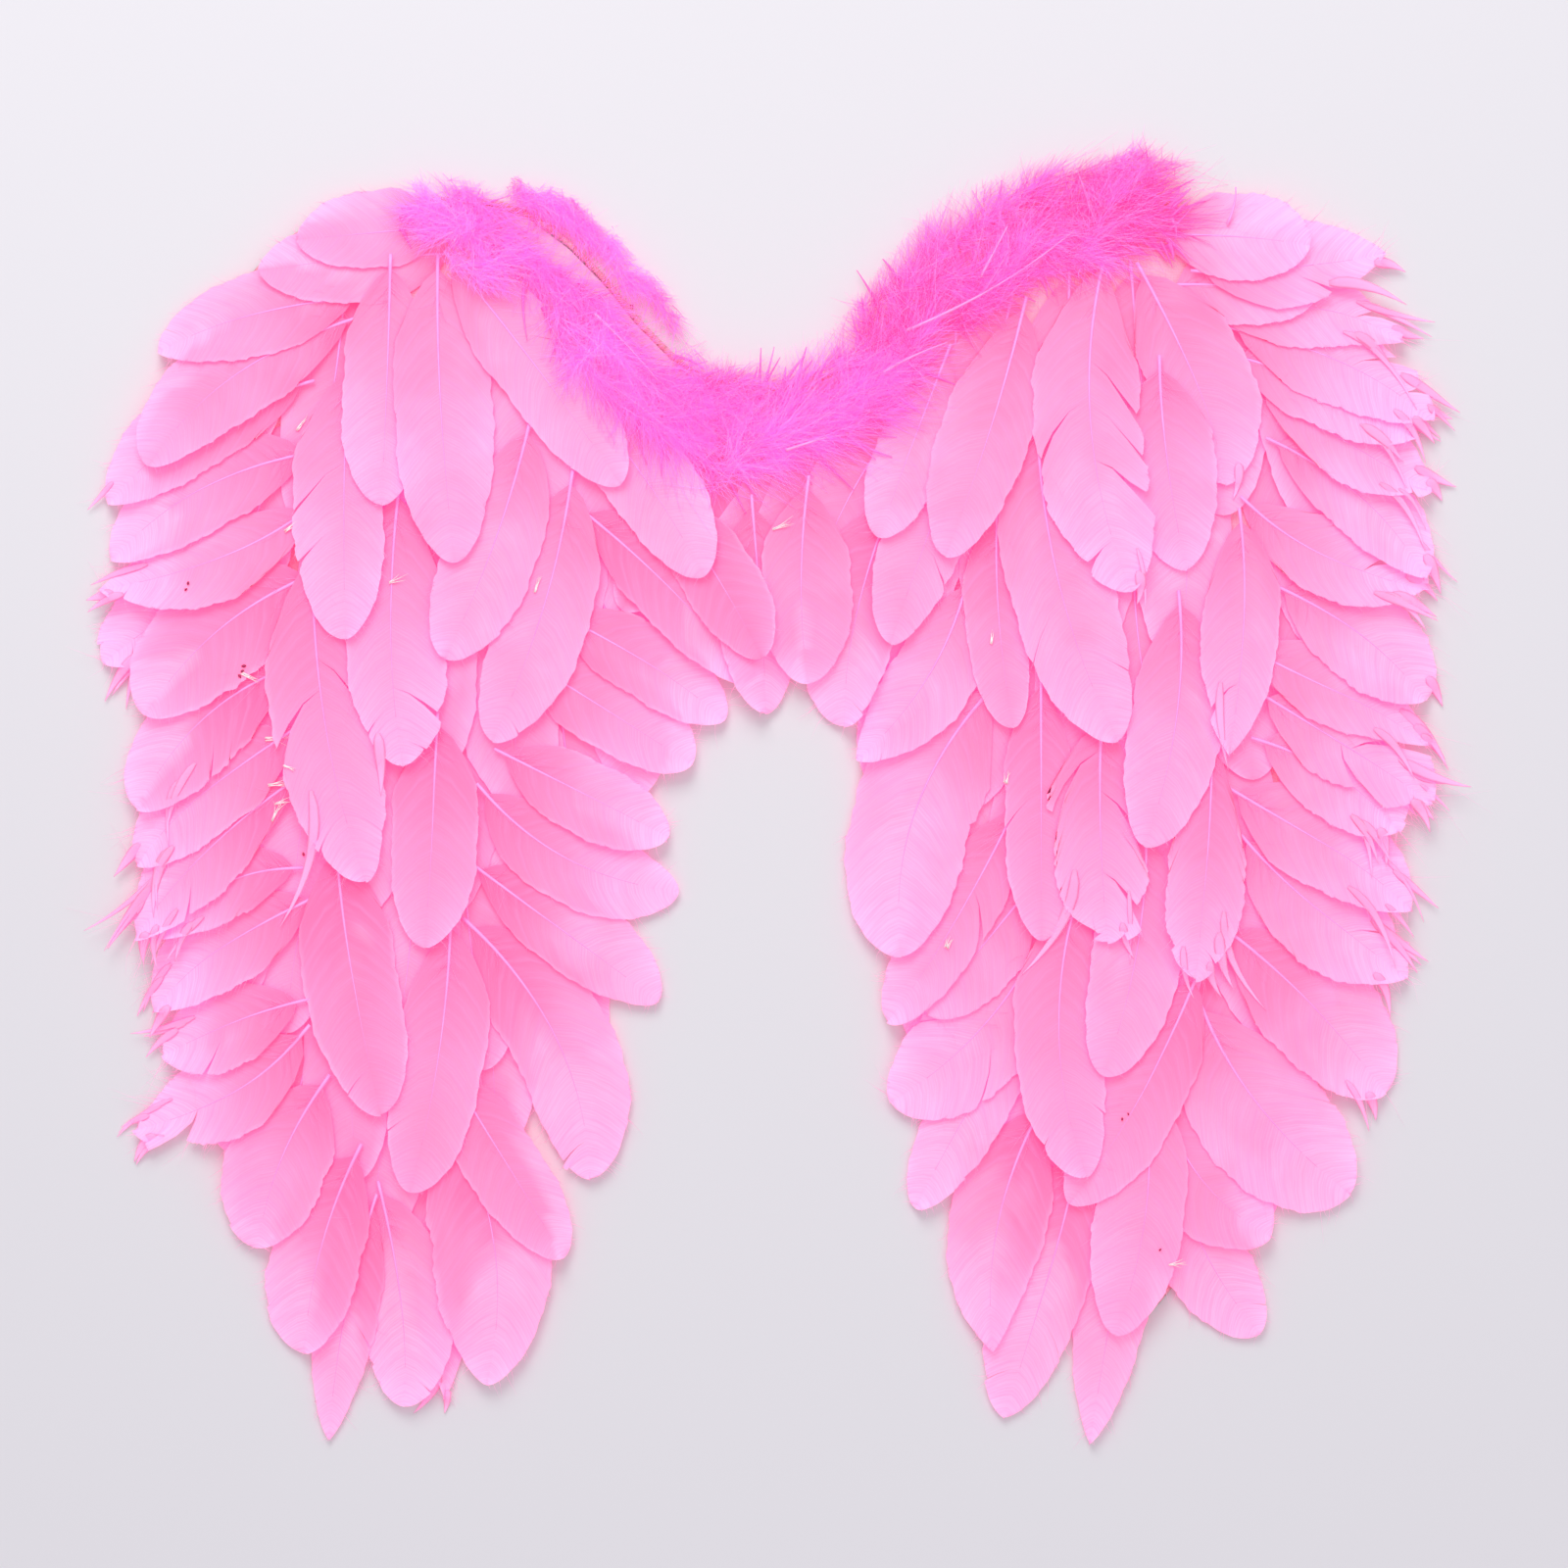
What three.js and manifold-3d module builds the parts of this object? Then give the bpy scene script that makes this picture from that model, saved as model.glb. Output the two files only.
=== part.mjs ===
// Feather costume wings, lying flat with their feathers up.
// Millimetres, +Z up, +X across the span, +Y towards the top edge of the wings.
// A wrapped wire rim holds two thin panels. Fans of feathers are glued round the panels' edge,
// single cover feathers lie over the fans, and a marabou trim follows the top edge.
// Everything is laid in the order of the real work, each piece on what is already there.

import * as THREE from 'three';
import { mergeVertices } from 'three/addons/utils/BufferGeometryUtils.js';
import Module from 'manifold-3d';

// Overall size: the tables below give places as shares of half the span and of the height
const SPAN = 600;
const HEIGHT = 568;

// Rim wire and panels
const WIRE_DIAMETER = 3;
const WIRE_SIDES = 6;
const WIRE_STEPS = 52;
const WIRE_END = 0.5;
const PANEL_THICKNESS = 1.2;

// Elastic arm loops, flat under the panels
const LOOP_WIDTH = 10;
const LOOP_THICKNESS = 1;
const LOOP_STEPS = 18;

// Feathers
const FEATHER_WIDTH = 42;
const VANE_THICKNESS = 0.6;
const EDGE_THICKNESS = 0.4;
const RACHIS_HEIGHT = 0.4;
const QUILL_WIDTH = 3;
const QUILL_INSET = 3;
const TIP_LIFT = 6;
const PATCH_MARGIN = 6;
const PATCH_THICKNESS = 0.8;

// Marabou trim
const TRIM_WIDTH = 56;
const TRIM_HEIGHT = 13;
const LOCK_LENGTH = 12;
const LOCK_RISE = 5;
const LOCK_FOOT = 3;
const LOCK_SPACING = 9;
const LOCK_SWAY = 3;
const SWAY_TURN = 2.4;
const BASE_SHARE = 0.8;

// Clearances: between parts that touch, and of the lowest feather tips from the surface below
const GAP = 0.3;
const LAY_GAP = 0.5;
const FLOOR_CLEARANCE = 0.8;

// The grid of heights that pieces are laid on, and how stiff a feather lies
const CELL = 2;
const GRID_MARGIN = 60;
const ALLOWED_SAG = 1.5;
const NEAR_CORNER = 0.3;
const CROSS_SLOPE = 0.16;

// Turns the rows of a table into objects with its column names
function table(columns, rows) {
  return rows.map((row) => Object.fromEntries(columns.map((name, index) => [name, row[index]])));
}

// Rim of the right wing, from the notch at the top round the wing to the arch below the centre
const RIM = table(['x', 'y'], [
  [0.000, 0.834],
  [0.100, 0.845],
  [0.175, 0.878],
  [0.250, 0.925],
  [0.330, 0.963],
  [0.420, 0.982],
  [0.600, 0.980],
  [0.690, 0.960],
  [0.780, 0.915],
  [0.845, 0.845],
  [0.867, 0.745],
  [0.860, 0.630],
  [0.800, 0.405],
  [0.755, 0.300],
  [0.690, 0.205],
  [0.610, 0.128],
  [0.540, 0.095],
  [0.480, 0.112],
  [0.430, 0.180],
  [0.385, 0.290],
  [0.305, 0.500],
  [0.265, 0.575],
  [0.195, 0.622],
  [0.000, 0.636],
]);

// Right arm loop, from its upper end round to its lower end
const ARM_LOOP = table(['x', 'y'], [
  [0.040, 0.795],
  [0.200, 0.820],
  [0.330, 0.800],
  [0.390, 0.735],
  [0.330, 0.672],
  [0.200, 0.660],
  [0.040, 0.672],
]);

// A feather lies from its root to its tip. width is a share of FEATHER_WIDTH, bow is how far its
// middle stands to the left of the straight line, as a share of its length, lift is how far its
// tip rises, as a share of TIP_LIFT, and end is the shape of its tip: 1 is pointed, 0.5 is round.
const FEATHER_COLUMNS = ['rootX', 'rootY', 'tipX', 'tipY', 'width', 'bow', 'lift', 'end'];

const TIP_FAN_LEFT = table(FEATHER_COLUMNS, [
  [-0.500, 0.170, -0.470, 0.035, 0.55, 0.00, 0.3, 1.0],
  [-0.575, 0.200, -0.535, 0.030, 1.00, 0.03, 0.6, 0.5],
  [-0.585, 0.190, -0.655, 0.003, 0.65, -0.03, 0.2, 0.7],
  [-0.610, 0.230, -0.690, 0.072, 1.00, -0.05, 0.4, 0.5],
  [-0.660, 0.285, -0.760, 0.155, 1.10, -0.06, 0.3, 0.5],
  [-0.490, 0.275, -0.420, 0.047, 1.25, 0.11, 0.8, 0.6],
]);

const TIP_FAN_RIGHT = table(FEATHER_COLUMNS, [
  [0.550, 0.215, 0.485, 0.000, 0.80, 0.00, 0.3, 0.8],
  [0.600, 0.230, 0.740, 0.087, 0.90, -0.06, 0.4, 0.5],
  [0.470, 0.235, 0.352, 0.022, 1.00, 0.02, 0.3, 0.6],
  [0.410, 0.265, 0.340, 0.073, 1.05, -0.08, 0.5, 0.8],
  [0.585, 0.285, 0.755, 0.165, 1.15, -0.12, 0.4, 0.5],
  [0.560, 0.290, 0.518, 0.087, 0.95, 0.07, 0.6, 0.5],
]);

const INNER_FAN_LEFT = table(FEATHER_COLUMNS, [
  [-0.470, 0.295, -0.300, 0.148, 0.80, 0.00, 0.4, 0.5],
  [-0.440, 0.410, -0.260, 0.210, 1.10, 0.10, 0.6, 0.5],
  [-0.430, 0.455, -0.160, 0.350, 0.85, 0.00, 0.5, 0.5],
  [-0.420, 0.515, -0.130, 0.437, 0.90, -0.10, 0.3, 0.5],
  [-0.390, 0.545, -0.145, 0.480, 0.80, 0.00, 0.5, 0.5],
  [-0.360, 0.620, -0.110, 0.537, 0.90, 0.00, 0.6, 0.5],
  [-0.310, 0.655, -0.057, 0.575, 0.80, 0.02, 0.4, 0.5],
  [-0.270, 0.735, -0.020, 0.602, 0.90, 0.03, 0.6, 0.5],
]);

const INNER_FAN_RIGHT = table(FEATHER_COLUMNS, [
  [0.400, 0.350, 0.218, 0.188, 0.75, 0.00, 0.3, 0.5],
  [0.420, 0.410, 0.185, 0.270, 1.15, 0.08, 0.5, 0.5],
  [0.395, 0.440, 0.240, 0.340, 0.85, 0.00, 0.3, 0.5],
  [0.370, 0.500, 0.185, 0.333, 0.80, 0.02, 0.4, 0.5],
  [0.335, 0.595, 0.197, 0.386, 1.30, -0.11, 0.5, 0.5],
  [0.300, 0.680, 0.135, 0.540, 0.90, 0.08, 0.6, 0.7],
]);

const OUTER_FAN_LEFT = table(FEATHER_COLUMNS, [
  [-0.690, 0.325, -0.950, 0.255, 0.95, 0.11, 0.4, 0.7],
  [-0.695, 0.350, -0.900, 0.305, 0.85, -0.04, 0.5, 0.6],
  [-0.680, 0.430, -0.925, 0.350, 0.95, -0.03, 0.4, 0.7],
  [-0.700, 0.455, -0.905, 0.405, 0.80, -0.11, 0.9, 0.7],
  [-0.700, 0.525, -0.940, 0.400, 0.90, -0.05, 0.8, 0.7],
  [-0.700, 0.565, -0.950, 0.465, 0.90, -0.02, 0.3, 0.6],
  [-0.700, 0.615, -0.935, 0.500, 1.00, -0.11, 0.5, 0.5],
  [-0.720, 0.705, -1.000, 0.625, 0.85, 0.00, 0.3, 0.6],
  [-0.680, 0.685, -0.925, 0.575, 1.20, -0.08, 0.6, 0.5],
  [-0.680, 0.738, -1.000, 0.680, 0.85, 0.08, 0.8, 0.8],
  [-0.680, 0.782, -0.980, 0.700, 0.95, -0.08, 0.4, 0.6],
  [-0.690, 0.837, -0.985, 0.745, 0.95, -0.07, 0.5, 0.6],
  [-0.620, 0.887, -0.925, 0.775, 1.00, -0.08, 0.5, 0.5],
  [-0.610, 0.905, -0.910, 0.865, 0.90, -0.04, 0.3, 0.6],
  [-0.470, 0.940, -0.757, 0.925, 0.90, -0.02, 0.4, 0.6],
  [-0.470, 0.962, -0.700, 0.950, 0.85, 0.00, 0.3, 0.6],
]);

const OUTER_FAN_RIGHT = table(FEATHER_COLUMNS, [
  [0.650, 0.345, 0.880, 0.200, 1.35, -0.08, 0.4, 0.5],
  [0.690, 0.405, 0.925, 0.276, 1.20, 0.04, 0.3, 0.5],
  [0.715, 0.477, 0.965, 0.375, 1.10, -0.05, 0.4, 0.7],
  [0.700, 0.515, 0.975, 0.430, 1.00, 0.00, 0.6, 0.7],
  [0.740, 0.555, 0.945, 0.485, 1.00, 0.07, 0.9, 0.6],
  [0.745, 0.590, 0.995, 0.508, 0.90, 0.00, 0.5, 0.8],
  [0.720, 0.628, 1.000, 0.562, 0.85, -0.02, 0.4, 0.9],
  [0.770, 0.675, 0.990, 0.590, 1.05, 0.05, 0.4, 0.5],
  [0.720, 0.742, 0.990, 0.680, 0.85, -0.09, 0.8, 0.8],
  [0.760, 0.790, 0.990, 0.688, 0.90, 0.07, 0.4, 0.6],
  [0.740, 0.835, 1.000, 0.755, 0.90, -0.03, 0.5, 0.7],
  [0.700, 0.858, 0.975, 0.797, 0.85, 0.04, 0.4, 0.6],
  [0.700, 0.880, 1.000, 0.812, 0.85, 0.05, 0.3, 0.6],
  [0.670, 0.890, 0.955, 0.878, 0.80, 0.08, 0.5, 0.8],
  [0.610, 0.915, 0.820, 0.905, 0.95, 0.03, 0.3, 0.5],
  [0.650, 0.925, 0.925, 0.945, 0.90, -0.05, 0.7, 0.8],
  [0.590, 0.955, 0.810, 0.945, 0.95, 0.02, 0.4, 0.5],
]);

const CENTRE_FAN = table(FEATHER_COLUMNS, [
  [-0.020, 0.740, 0.005, 0.577, 0.80, 0.00, 0.4, 0.5],
  [0.190, 0.745, 0.110, 0.568, 1.00, -0.04, 0.5, 0.5],
  [0.062, 0.755, 0.061, 0.600, 0.95, -0.03, 0.5, 0.5],
  [-0.150, 0.745, -0.005, 0.620, 0.80, 0.02, 0.3, 0.5],
]);

const COVERS_LEFT = table(FEATHER_COLUMNS, [
  [-0.470, 0.410, -0.530, 0.200, 0.95, 0.03, 0.3, 0.5],
  [-0.640, 0.470, -0.565, 0.262, 1.00, -0.03, 0.3, 0.5],
  [-0.490, 0.570, -0.505, 0.392, 0.95, 0.00, 0.3, 0.5],
  [-0.675, 0.700, -0.600, 0.445, 1.05, -0.04, 0.4, 0.5],
  [-0.548, 0.750, -0.545, 0.535, 1.05, -0.03, 0.4, 0.5],
  [-0.290, 0.760, -0.410, 0.555, 1.00, 0.04, 0.4, 0.5],
  [-0.355, 0.800, -0.480, 0.620, 1.00, 0.03, 0.4, 0.5],
  [-0.620, 0.850, -0.620, 0.635, 0.95, -0.02, 0.3, 0.5],
  [-0.300, 0.840, -0.090, 0.685, 0.95, 0.03, 0.4, 0.5],
  [-0.560, 0.930, -0.570, 0.740, 0.90, 0.00, 0.4, 0.5],
  [-0.490, 0.930, -0.460, 0.695, 1.05, -0.02, 0.4, 0.5],
  [-0.470, 0.935, -0.215, 0.757, 0.95, 0.01, 0.4, 0.5],
]);

const COVERS_RIGHT = table(FEATHER_COLUMNS, [
  [0.640, 0.368, 0.455, 0.190, 0.90, 0.03, 0.2, 0.5],
  [0.465, 0.435, 0.475, 0.213, 0.95, -0.08, 0.2, 0.5],
  [0.567, 0.480, 0.500, 0.292, 0.95, 0.05, 0.3, 0.5],
  [0.665, 0.550, 0.635, 0.368, 0.85, 0.02, 0.3, 0.5],
  [0.410, 0.600, 0.410, 0.398, 0.75, 0.00, 0.3, 0.5],
  [0.500, 0.570, 0.510, 0.397, 1.10, -0.02, 0.3, 0.5],
  [0.617, 0.665, 0.560, 0.472, 1.00, 0.06, 0.4, 0.5],
  [0.345, 0.735, 0.370, 0.565, 0.65, -0.03, 0.3, 0.5],
  [0.708, 0.730, 0.680, 0.545, 0.85, 0.05, 0.3, 0.8],
  [0.562, 0.925, 0.700, 0.760, 1.10, 0.02, 0.1, 0.5],
  [0.405, 0.800, 0.520, 0.555, 1.15, -0.05, 0.5, 0.5],
  [0.587, 0.850, 0.630, 0.690, 1.00, -0.03, 0.3, 0.6],
  [0.330, 0.840, 0.180, 0.632, 0.90, 0.00, 0.4, 0.5],
  [0.270, 0.860, 0.165, 0.715, 0.75, 0.00, 0.3, 0.5],
  [0.385, 0.897, 0.265, 0.700, 0.95, 0.02, 0.4, 0.5],
  [0.503, 0.930, 0.545, 0.672, 1.15, -0.08, 0.5, 0.5],
]);

// Marabou trim, from the left wing's end to the right wing's: its middle line and its width there,
// as a share of TRIM_WIDTH
const TRIM = table(['x', 'y', 'width'], [
  [-0.550, 0.967, 0.55],
  [-0.470, 0.964, 0.70],
  [-0.400, 0.955, 0.85],
  [-0.330, 0.930, 0.95],
  [-0.260, 0.892, 1.00],
  [-0.200, 0.855, 1.00],
  [-0.140, 0.818, 1.00],
  [-0.070, 0.795, 1.00],
  [0.000, 0.798, 1.05],
  [0.070, 0.810, 1.05],
  [0.140, 0.832, 0.95],
  [0.200, 0.862, 0.90],
  [0.260, 0.902, 0.95],
  [0.330, 0.936, 1.00],
  [0.410, 0.952, 1.00],
  [0.490, 0.962, 0.90],
  [0.560, 0.964, 0.85],
  [0.605, 0.962, 0.70],
]);

// The trim's three lengths, as rows of TRIM from and to
const TRIM_LENGTHS = [
  { name: 'marabou_left', from: 0, to: 5 },
  { name: 'marabou_centre', from: 5, to: 11 },
  { name: 'marabou_right', from: 11, to: 17 },
];

// Stations along a feather, as shares of its length, and the shape of its vane
const STATIONS = [0, 0.15, 0.42, 0.70, 0.90, 1];
const VANE_FULL_AT = 0.36;
const TIP_STARTS_AT = 0.68;
const END_WIDTH = 0.22;
const ROOT_WIDTH = 0.16;

const wasm = await Module();
wasm.setup();

function place(row, side = 1) {
  return new THREE.Vector2(side * row.x * SPAN / 2, row.y * HEIGHT);
}

function colouredMaterial(color, roughness) {
  return new THREE.MeshStandardMaterial({ color, roughness, metalness: 0 });
}

const materials = {
  feather: colouredMaterial(0xff9fd8, 0.7),
  cover: colouredMaterial(0xffa9e0, 0.7),
  marabou: colouredMaterial(0xff64de, 0.9),
  wire: colouredMaterial(0xd98aa8, 0.8),
  panel: colouredMaterial(0xffd6ec, 0.9),
  elastic: colouredMaterial(0xf2b8d8, 0.85),
};

const wings = new THREE.Group();

function addPiece(name, geometry, material) {
  const mesh = new THREE.Mesh(geometry, material);
  mesh.name = name;
  wings.add(mesh);
}

// Booleans, on closed geometries with their shared vertices merged

function toSolid(geometry) {
  const bare = geometry.clone();
  bare.deleteAttribute('normal');
  bare.deleteAttribute('uv');
  const merged = mergeVertices(bare, 1e-4);
  const mesh = new wasm.Mesh({
    numProp: 3,
    vertProperties: new Float32Array(merged.attributes.position.array),
    triVerts: new Uint32Array(merged.index.array),
  });
  return new wasm.Manifold(mesh);
}

function toGeometry(solid) {
  const mesh = solid.getMesh();
  const geometry = new THREE.BufferGeometry();
  geometry.setAttribute('position', new THREE.BufferAttribute(mesh.vertProperties, 3));
  geometry.setIndex(new THREE.BufferAttribute(mesh.triVerts, 1));
  geometry.computeVertexNormals();
  return geometry;
}

function fuse(geometries) {
  const solids = geometries.map(toSolid);
  return toGeometry(solids.reduce((whole, solid) => whole.add(solid)));
}

// The heights of what has been laid so far, on a square grid
class Ground {
  constructor(level) {
    this.columns = Math.ceil((SPAN + 2 * GRID_MARGIN) / CELL);
    this.rows = Math.ceil((HEIGHT + 2 * GRID_MARGIN) / CELL);
    this.heights = new Float64Array(this.columns * this.rows).fill(level);
  }

  cell(x, y) {
    const column = Math.floor((x + SPAN / 2 + GRID_MARGIN) / CELL);
    const row = Math.floor((y + GRID_MARGIN) / CELL);
    const kept = THREE.MathUtils.clamp(row, 0, this.rows - 1) * this.columns;
    return kept + THREE.MathUtils.clamp(column, 0, this.columns - 1);
  }

  height(x, y) {
    return this.heights[this.cell(x, y)];
  }

  raise(x, y, z) {
    const cell = this.cell(x, y);
    this.heights[cell] = Math.max(this.heights[cell], z);
  }
}

// Calls visit with the weights of points spread over a triangle, half a cell apart
function overTriangle(a, b, c, visit) {
  const longest = Math.max(
    Math.hypot(a.x - b.x, a.y - b.y),
    Math.hypot(b.x - c.x, b.y - c.y),
    Math.hypot(c.x - a.x, c.y - a.y),
  );
  const steps = Math.max(1, Math.ceil(longest / (CELL / 2)));
  for (let i = 0; i <= steps; i++) {
    for (let j = 0; j <= steps - i; j++) {
      visit(i / steps, j / steps, (steps - i - j) / steps);
    }
  }
}

function mixed(a, b, c, wa, wb, wc, key) {
  return a[key] * wa + b[key] * wb + c[key] * wc;
}

// The two triangles of each quad of a sheet, which is rows of points from left to right
function trianglesOf(sheet) {
  const triangles = [];
  for (let i = 0; i + 1 < sheet.length; i++) {
    for (let j = 0; j + 1 < sheet[i].length; j++) {
      triangles.push([sheet[i][j], sheet[i][j + 1], sheet[i + 1][j + 1]]);
      triangles.push([sheet[i][j], sheet[i + 1][j + 1], sheet[i + 1][j]]);
    }
  }
  return triangles;
}

// Lays a sheet on the ground: each corner of a triangle rises over the ground near it, and then the
// whole triangle rises by what it still cuts into the ground
function layOn(ground, sheet, gap) {
  const triangles = trianglesOf(sheet);
  const visitNeeds = (corners, visit) => {
    overTriangle(...corners, (...weights) => {
      const x = mixed(...corners, ...weights, 'x');
      const y = mixed(...corners, ...weights, 'y');
      visit(ground.height(x, y) + gap, weights);
    });
  };
  for (const corners of triangles) {
    visitNeeds(corners, (need, weights) => {
      corners.forEach((corner, k) => {
        corner.z = weights[k] < NEAR_CORNER ? corner.z : Math.max(corner.z, need);
      });
    });
  }
  for (const corners of triangles) {
    let short = 0;
    visitNeeds(corners, (need, weights) => {
      short = Math.max(short, need - mixed(...corners, ...weights, 'z'));
    });
    corners.forEach((corner) => { corner.z += short; });
  }
}

// Raises the ground to a sheet's upper face
function coverGround(ground, sheet) {
  for (const [a, b, c] of trianglesOf(sheet)) {
    overTriangle(a, b, c, (wa, wb, wc) => {
      const x = mixed(a, b, c, wa, wb, wc, 'x');
      const y = mixed(a, b, c, wa, wb, wc, 'y');
      ground.raise(x, y, mixed(a, b, c, wa, wb, wc, 'top'));
    });
  }
}

// A closed plate between a sheet's points and their upper heights
function plate(sheet) {
  const across = sheet[0].length;
  const positions = [];
  for (const height of ['z', 'top']) {
    for (const row of sheet) {
      row.forEach((point) => positions.push(point.x, point.y, point[height]));
    }
  }
  const lower = (i, j) => i * across + j;
  const upper = (i, j) => sheet.length * across + lower(i, j);
  const indices = [];
  const quad = (a, b, c, d) => indices.push(a, b, c, a, c, d);
  const last = sheet.length - 1;
  const right = across - 1;
  for (let i = 0; i < last; i++) {
    for (let j = 0; j < right; j++) {
      quad(upper(i, j), upper(i, j + 1), upper(i + 1, j + 1), upper(i + 1, j));
      indices.push(lower(i, j), lower(i + 1, j + 1), lower(i, j + 1));
      indices.push(lower(i, j), lower(i + 1, j), lower(i + 1, j + 1));
    }
    quad(lower(i, 0), upper(i, 0), upper(i + 1, 0), lower(i + 1, 0));
    quad(lower(i, right), lower(i + 1, right), upper(i + 1, right), upper(i, right));
  }
  for (let j = 0; j < right; j++) {
    quad(lower(0, j), lower(0, j + 1), upper(0, j + 1), upper(0, j));
    quad(lower(last, j), upper(last, j), upper(last, j + 1), lower(last, j + 1));
  }
  const geometry = new THREE.BufferGeometry();
  geometry.setAttribute('position', new THREE.Float32BufferAttribute(positions, 3));
  geometry.setIndex(indices);
  geometry.computeVertexNormals();
  return geometry;
}

// A flat band of even width along a curve, two points across
function bandAlong(curve, steps, width, low, thickness) {
  const band = [];
  for (let i = 0; i <= steps; i++) {
    const middle = curve.getPoint(i / steps);
    const along = curve.getTangent(i / steps);
    const aside = new THREE.Vector2(-along.y, along.x).multiplyScalar(width / 2);
    band.push([1, -1].map((side) => ({
      x: middle.x + side * aside.x,
      y: middle.y + side * aside.y,
      z: low,
      top: low + thickness,
    })));
  }
  return band;
}

// Rim, panels and arm loops

const panelLow = LOOP_THICKNESS + GAP;
const panelTop = panelLow + PANEL_THICKNESS;

// The wire's middle line: its ends stop just short of the centre, where the other half meets it
function rimCurve(side) {
  const points = RIM.map((row) => place(row, side));
  points[0].x = side * WIRE_END;
  points[points.length - 1].x = side * WIRE_END;
  return new THREE.SplineCurve(points);
}

// A curve in the plane, at a height
class LevelCurve extends THREE.Curve {
  constructor(flat, height) {
    super();
    this.flat = flat;
    this.height = height;
  }

  getPoint(share) {
    const point = this.flat.getPoint(share);
    return new THREE.Vector3(point.x, point.y, this.height);
  }
}

function makeRimWire(side) {
  const corners = Array.from({ length: WIRE_SIDES }, (_, k) => {
    const angle = (k + 0.5) / WIRE_SIDES * 2 * Math.PI;
    return new THREE.Vector2(Math.sin(angle), Math.cos(angle)).multiplyScalar(WIRE_DIAMETER / 2);
  });
  return new THREE.ExtrudeGeometry(new THREE.Shape(corners), {
    steps: WIRE_STEPS,
    extrudePath: new LevelCurve(rimCurve(side), WIRE_DIAMETER / 2),
    bevelEnabled: false,
  });
}

// The panel fills the rim, clear of the wire, and stops at the centre line
function makePanel(side) {
  const curve = rimCurve(side);
  const inset = WIRE_DIAMETER / 2 + GAP;
  const outline = [];
  for (let i = 0; i <= WIRE_STEPS; i++) {
    const point = curve.getPointAt(i / WIRE_STEPS);
    const along = curve.getTangentAt(i / WIRE_STEPS);
    const inward = new THREE.Vector2(along.y, -along.x).multiplyScalar(side * inset);
    point.add(inward);
    point.x = i === 0 || i === WIRE_STEPS ? side * GAP / 2 : point.x;
    outline.push(point);
  }
  const geometry = new THREE.ExtrudeGeometry(new THREE.Shape(outline), {
    depth: PANEL_THICKNESS,
    bevelEnabled: false,
  });
  geometry.translate(0, 0, panelLow);
  return { geometry, outline };
}

function makeArmLoop(side) {
  const curve = new THREE.SplineCurve(ARM_LOOP.map((row) => place(row, side)));
  return plate(bandAlong(curve, LOOP_STEPS, LOOP_WIDTH, 0, LOOP_THICKNESS));
}

// Calls visit with points spread over a flat outline
function overOutline(outline, visit) {
  for (const face of THREE.ShapeUtils.triangulateShape(outline, [])) {
    const [a, b, c] = face.map((index) => outline[index]);
    overTriangle(a, b, c, (wa, wb, wc) => {
      visit(mixed(a, b, c, wa, wb, wc, 'x'), mixed(a, b, c, wa, wb, wc, 'y'));
    });
  }
}

// Raises the ground over the panel and the wire of one side
function coverFrame(ground, side, outline) {
  overOutline(outline, (x, y) => ground.raise(x, y, panelTop));
  const steps = Math.ceil(rimCurve(side).getLength() / CELL);
  coverGround(ground, bandAlong(rimCurve(side), steps, WIRE_DIAMETER + CELL, 0, WIRE_DIAMETER));
}

// Feathers

// Half the vane's width at a share of its length, as a share of its greatest half width
function vaneShare(share, end) {
  const opening = Math.min(1, share / VANE_FULL_AT);
  const rise = ROOT_WIDTH + (1 - ROOT_WIDTH) * Math.sin(opening * Math.PI / 2);
  const closing = Math.max(0, (share - TIP_STARTS_AT) / (1 - TIP_STARTS_AT));
  const fall = Math.max(END_WIDTH, (1 - closing ** 2) ** end);
  return rise * fall;
}

function featherCurve(row) {
  const root = place({ x: row.rootX, y: row.rootY });
  const tip = place({ x: row.tipX, y: row.tipY });
  const along = tip.clone().sub(root);
  const bend = new THREE.Vector2(-along.y, along.x).multiplyScalar(2 * row.bow);
  const middle = root.clone().add(tip).multiplyScalar(0.5).add(bend);
  return new THREE.QuadraticBezierCurve(root, middle, tip);
}

// A feather as a sheet three points wide: left edge, rachis and right edge
function featherSheet(row, low) {
  const curve = featherCurve(row);
  return STATIONS.map((share) => {
    const middle = curve.getPoint(share);
    const along = curve.getTangent(share);
    const half = vaneShare(share, row.end) * row.width * FEATHER_WIDTH / 2;
    const aside = new THREE.Vector2(-along.y, along.x).multiplyScalar(half);
    return [1, 0, -1].map((side) => ({
      x: middle.x + side * aside.x,
      y: middle.y + side * aside.y,
      z: low,
      thickness: side === 0 ? VANE_THICKNESS + RACHIS_HEIGHT * (1 - share) : EDGE_THICKNESS,
    }));
  });
}

// A feather spans hollows along its length and tilts only a little across. It is only ever raised.
function stiffen(sheet) {
  const half = FEATHER_WIDTH / 2;
  for (let pass = 0; pass < sheet.length; pass++) {
    for (const row of sheet) {
      const [left, middle, right] = row;
      middle.z = Math.max(middle.z, (left.z + right.z) / 2 - ALLOWED_SAG / 2);
      left.z = Math.max(left.z, middle.z - CROSS_SLOPE * half);
      right.z = Math.max(right.z, middle.z - CROSS_SLOPE * half);
    }
    for (let i = 1; i + 1 < sheet.length; i++) {
      const share = (STATIONS[i] - STATIONS[i - 1]) / (STATIONS[i + 1] - STATIONS[i - 1]);
      for (let j = 0; j < 3; j++) {
        const level = THREE.MathUtils.lerp(sheet[i - 1][j].z, sheet[i + 1][j].z, share);
        sheet[i][j].z = Math.max(sheet[i][j].z, level - ALLOWED_SAG);
      }
    }
  }
}

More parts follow.
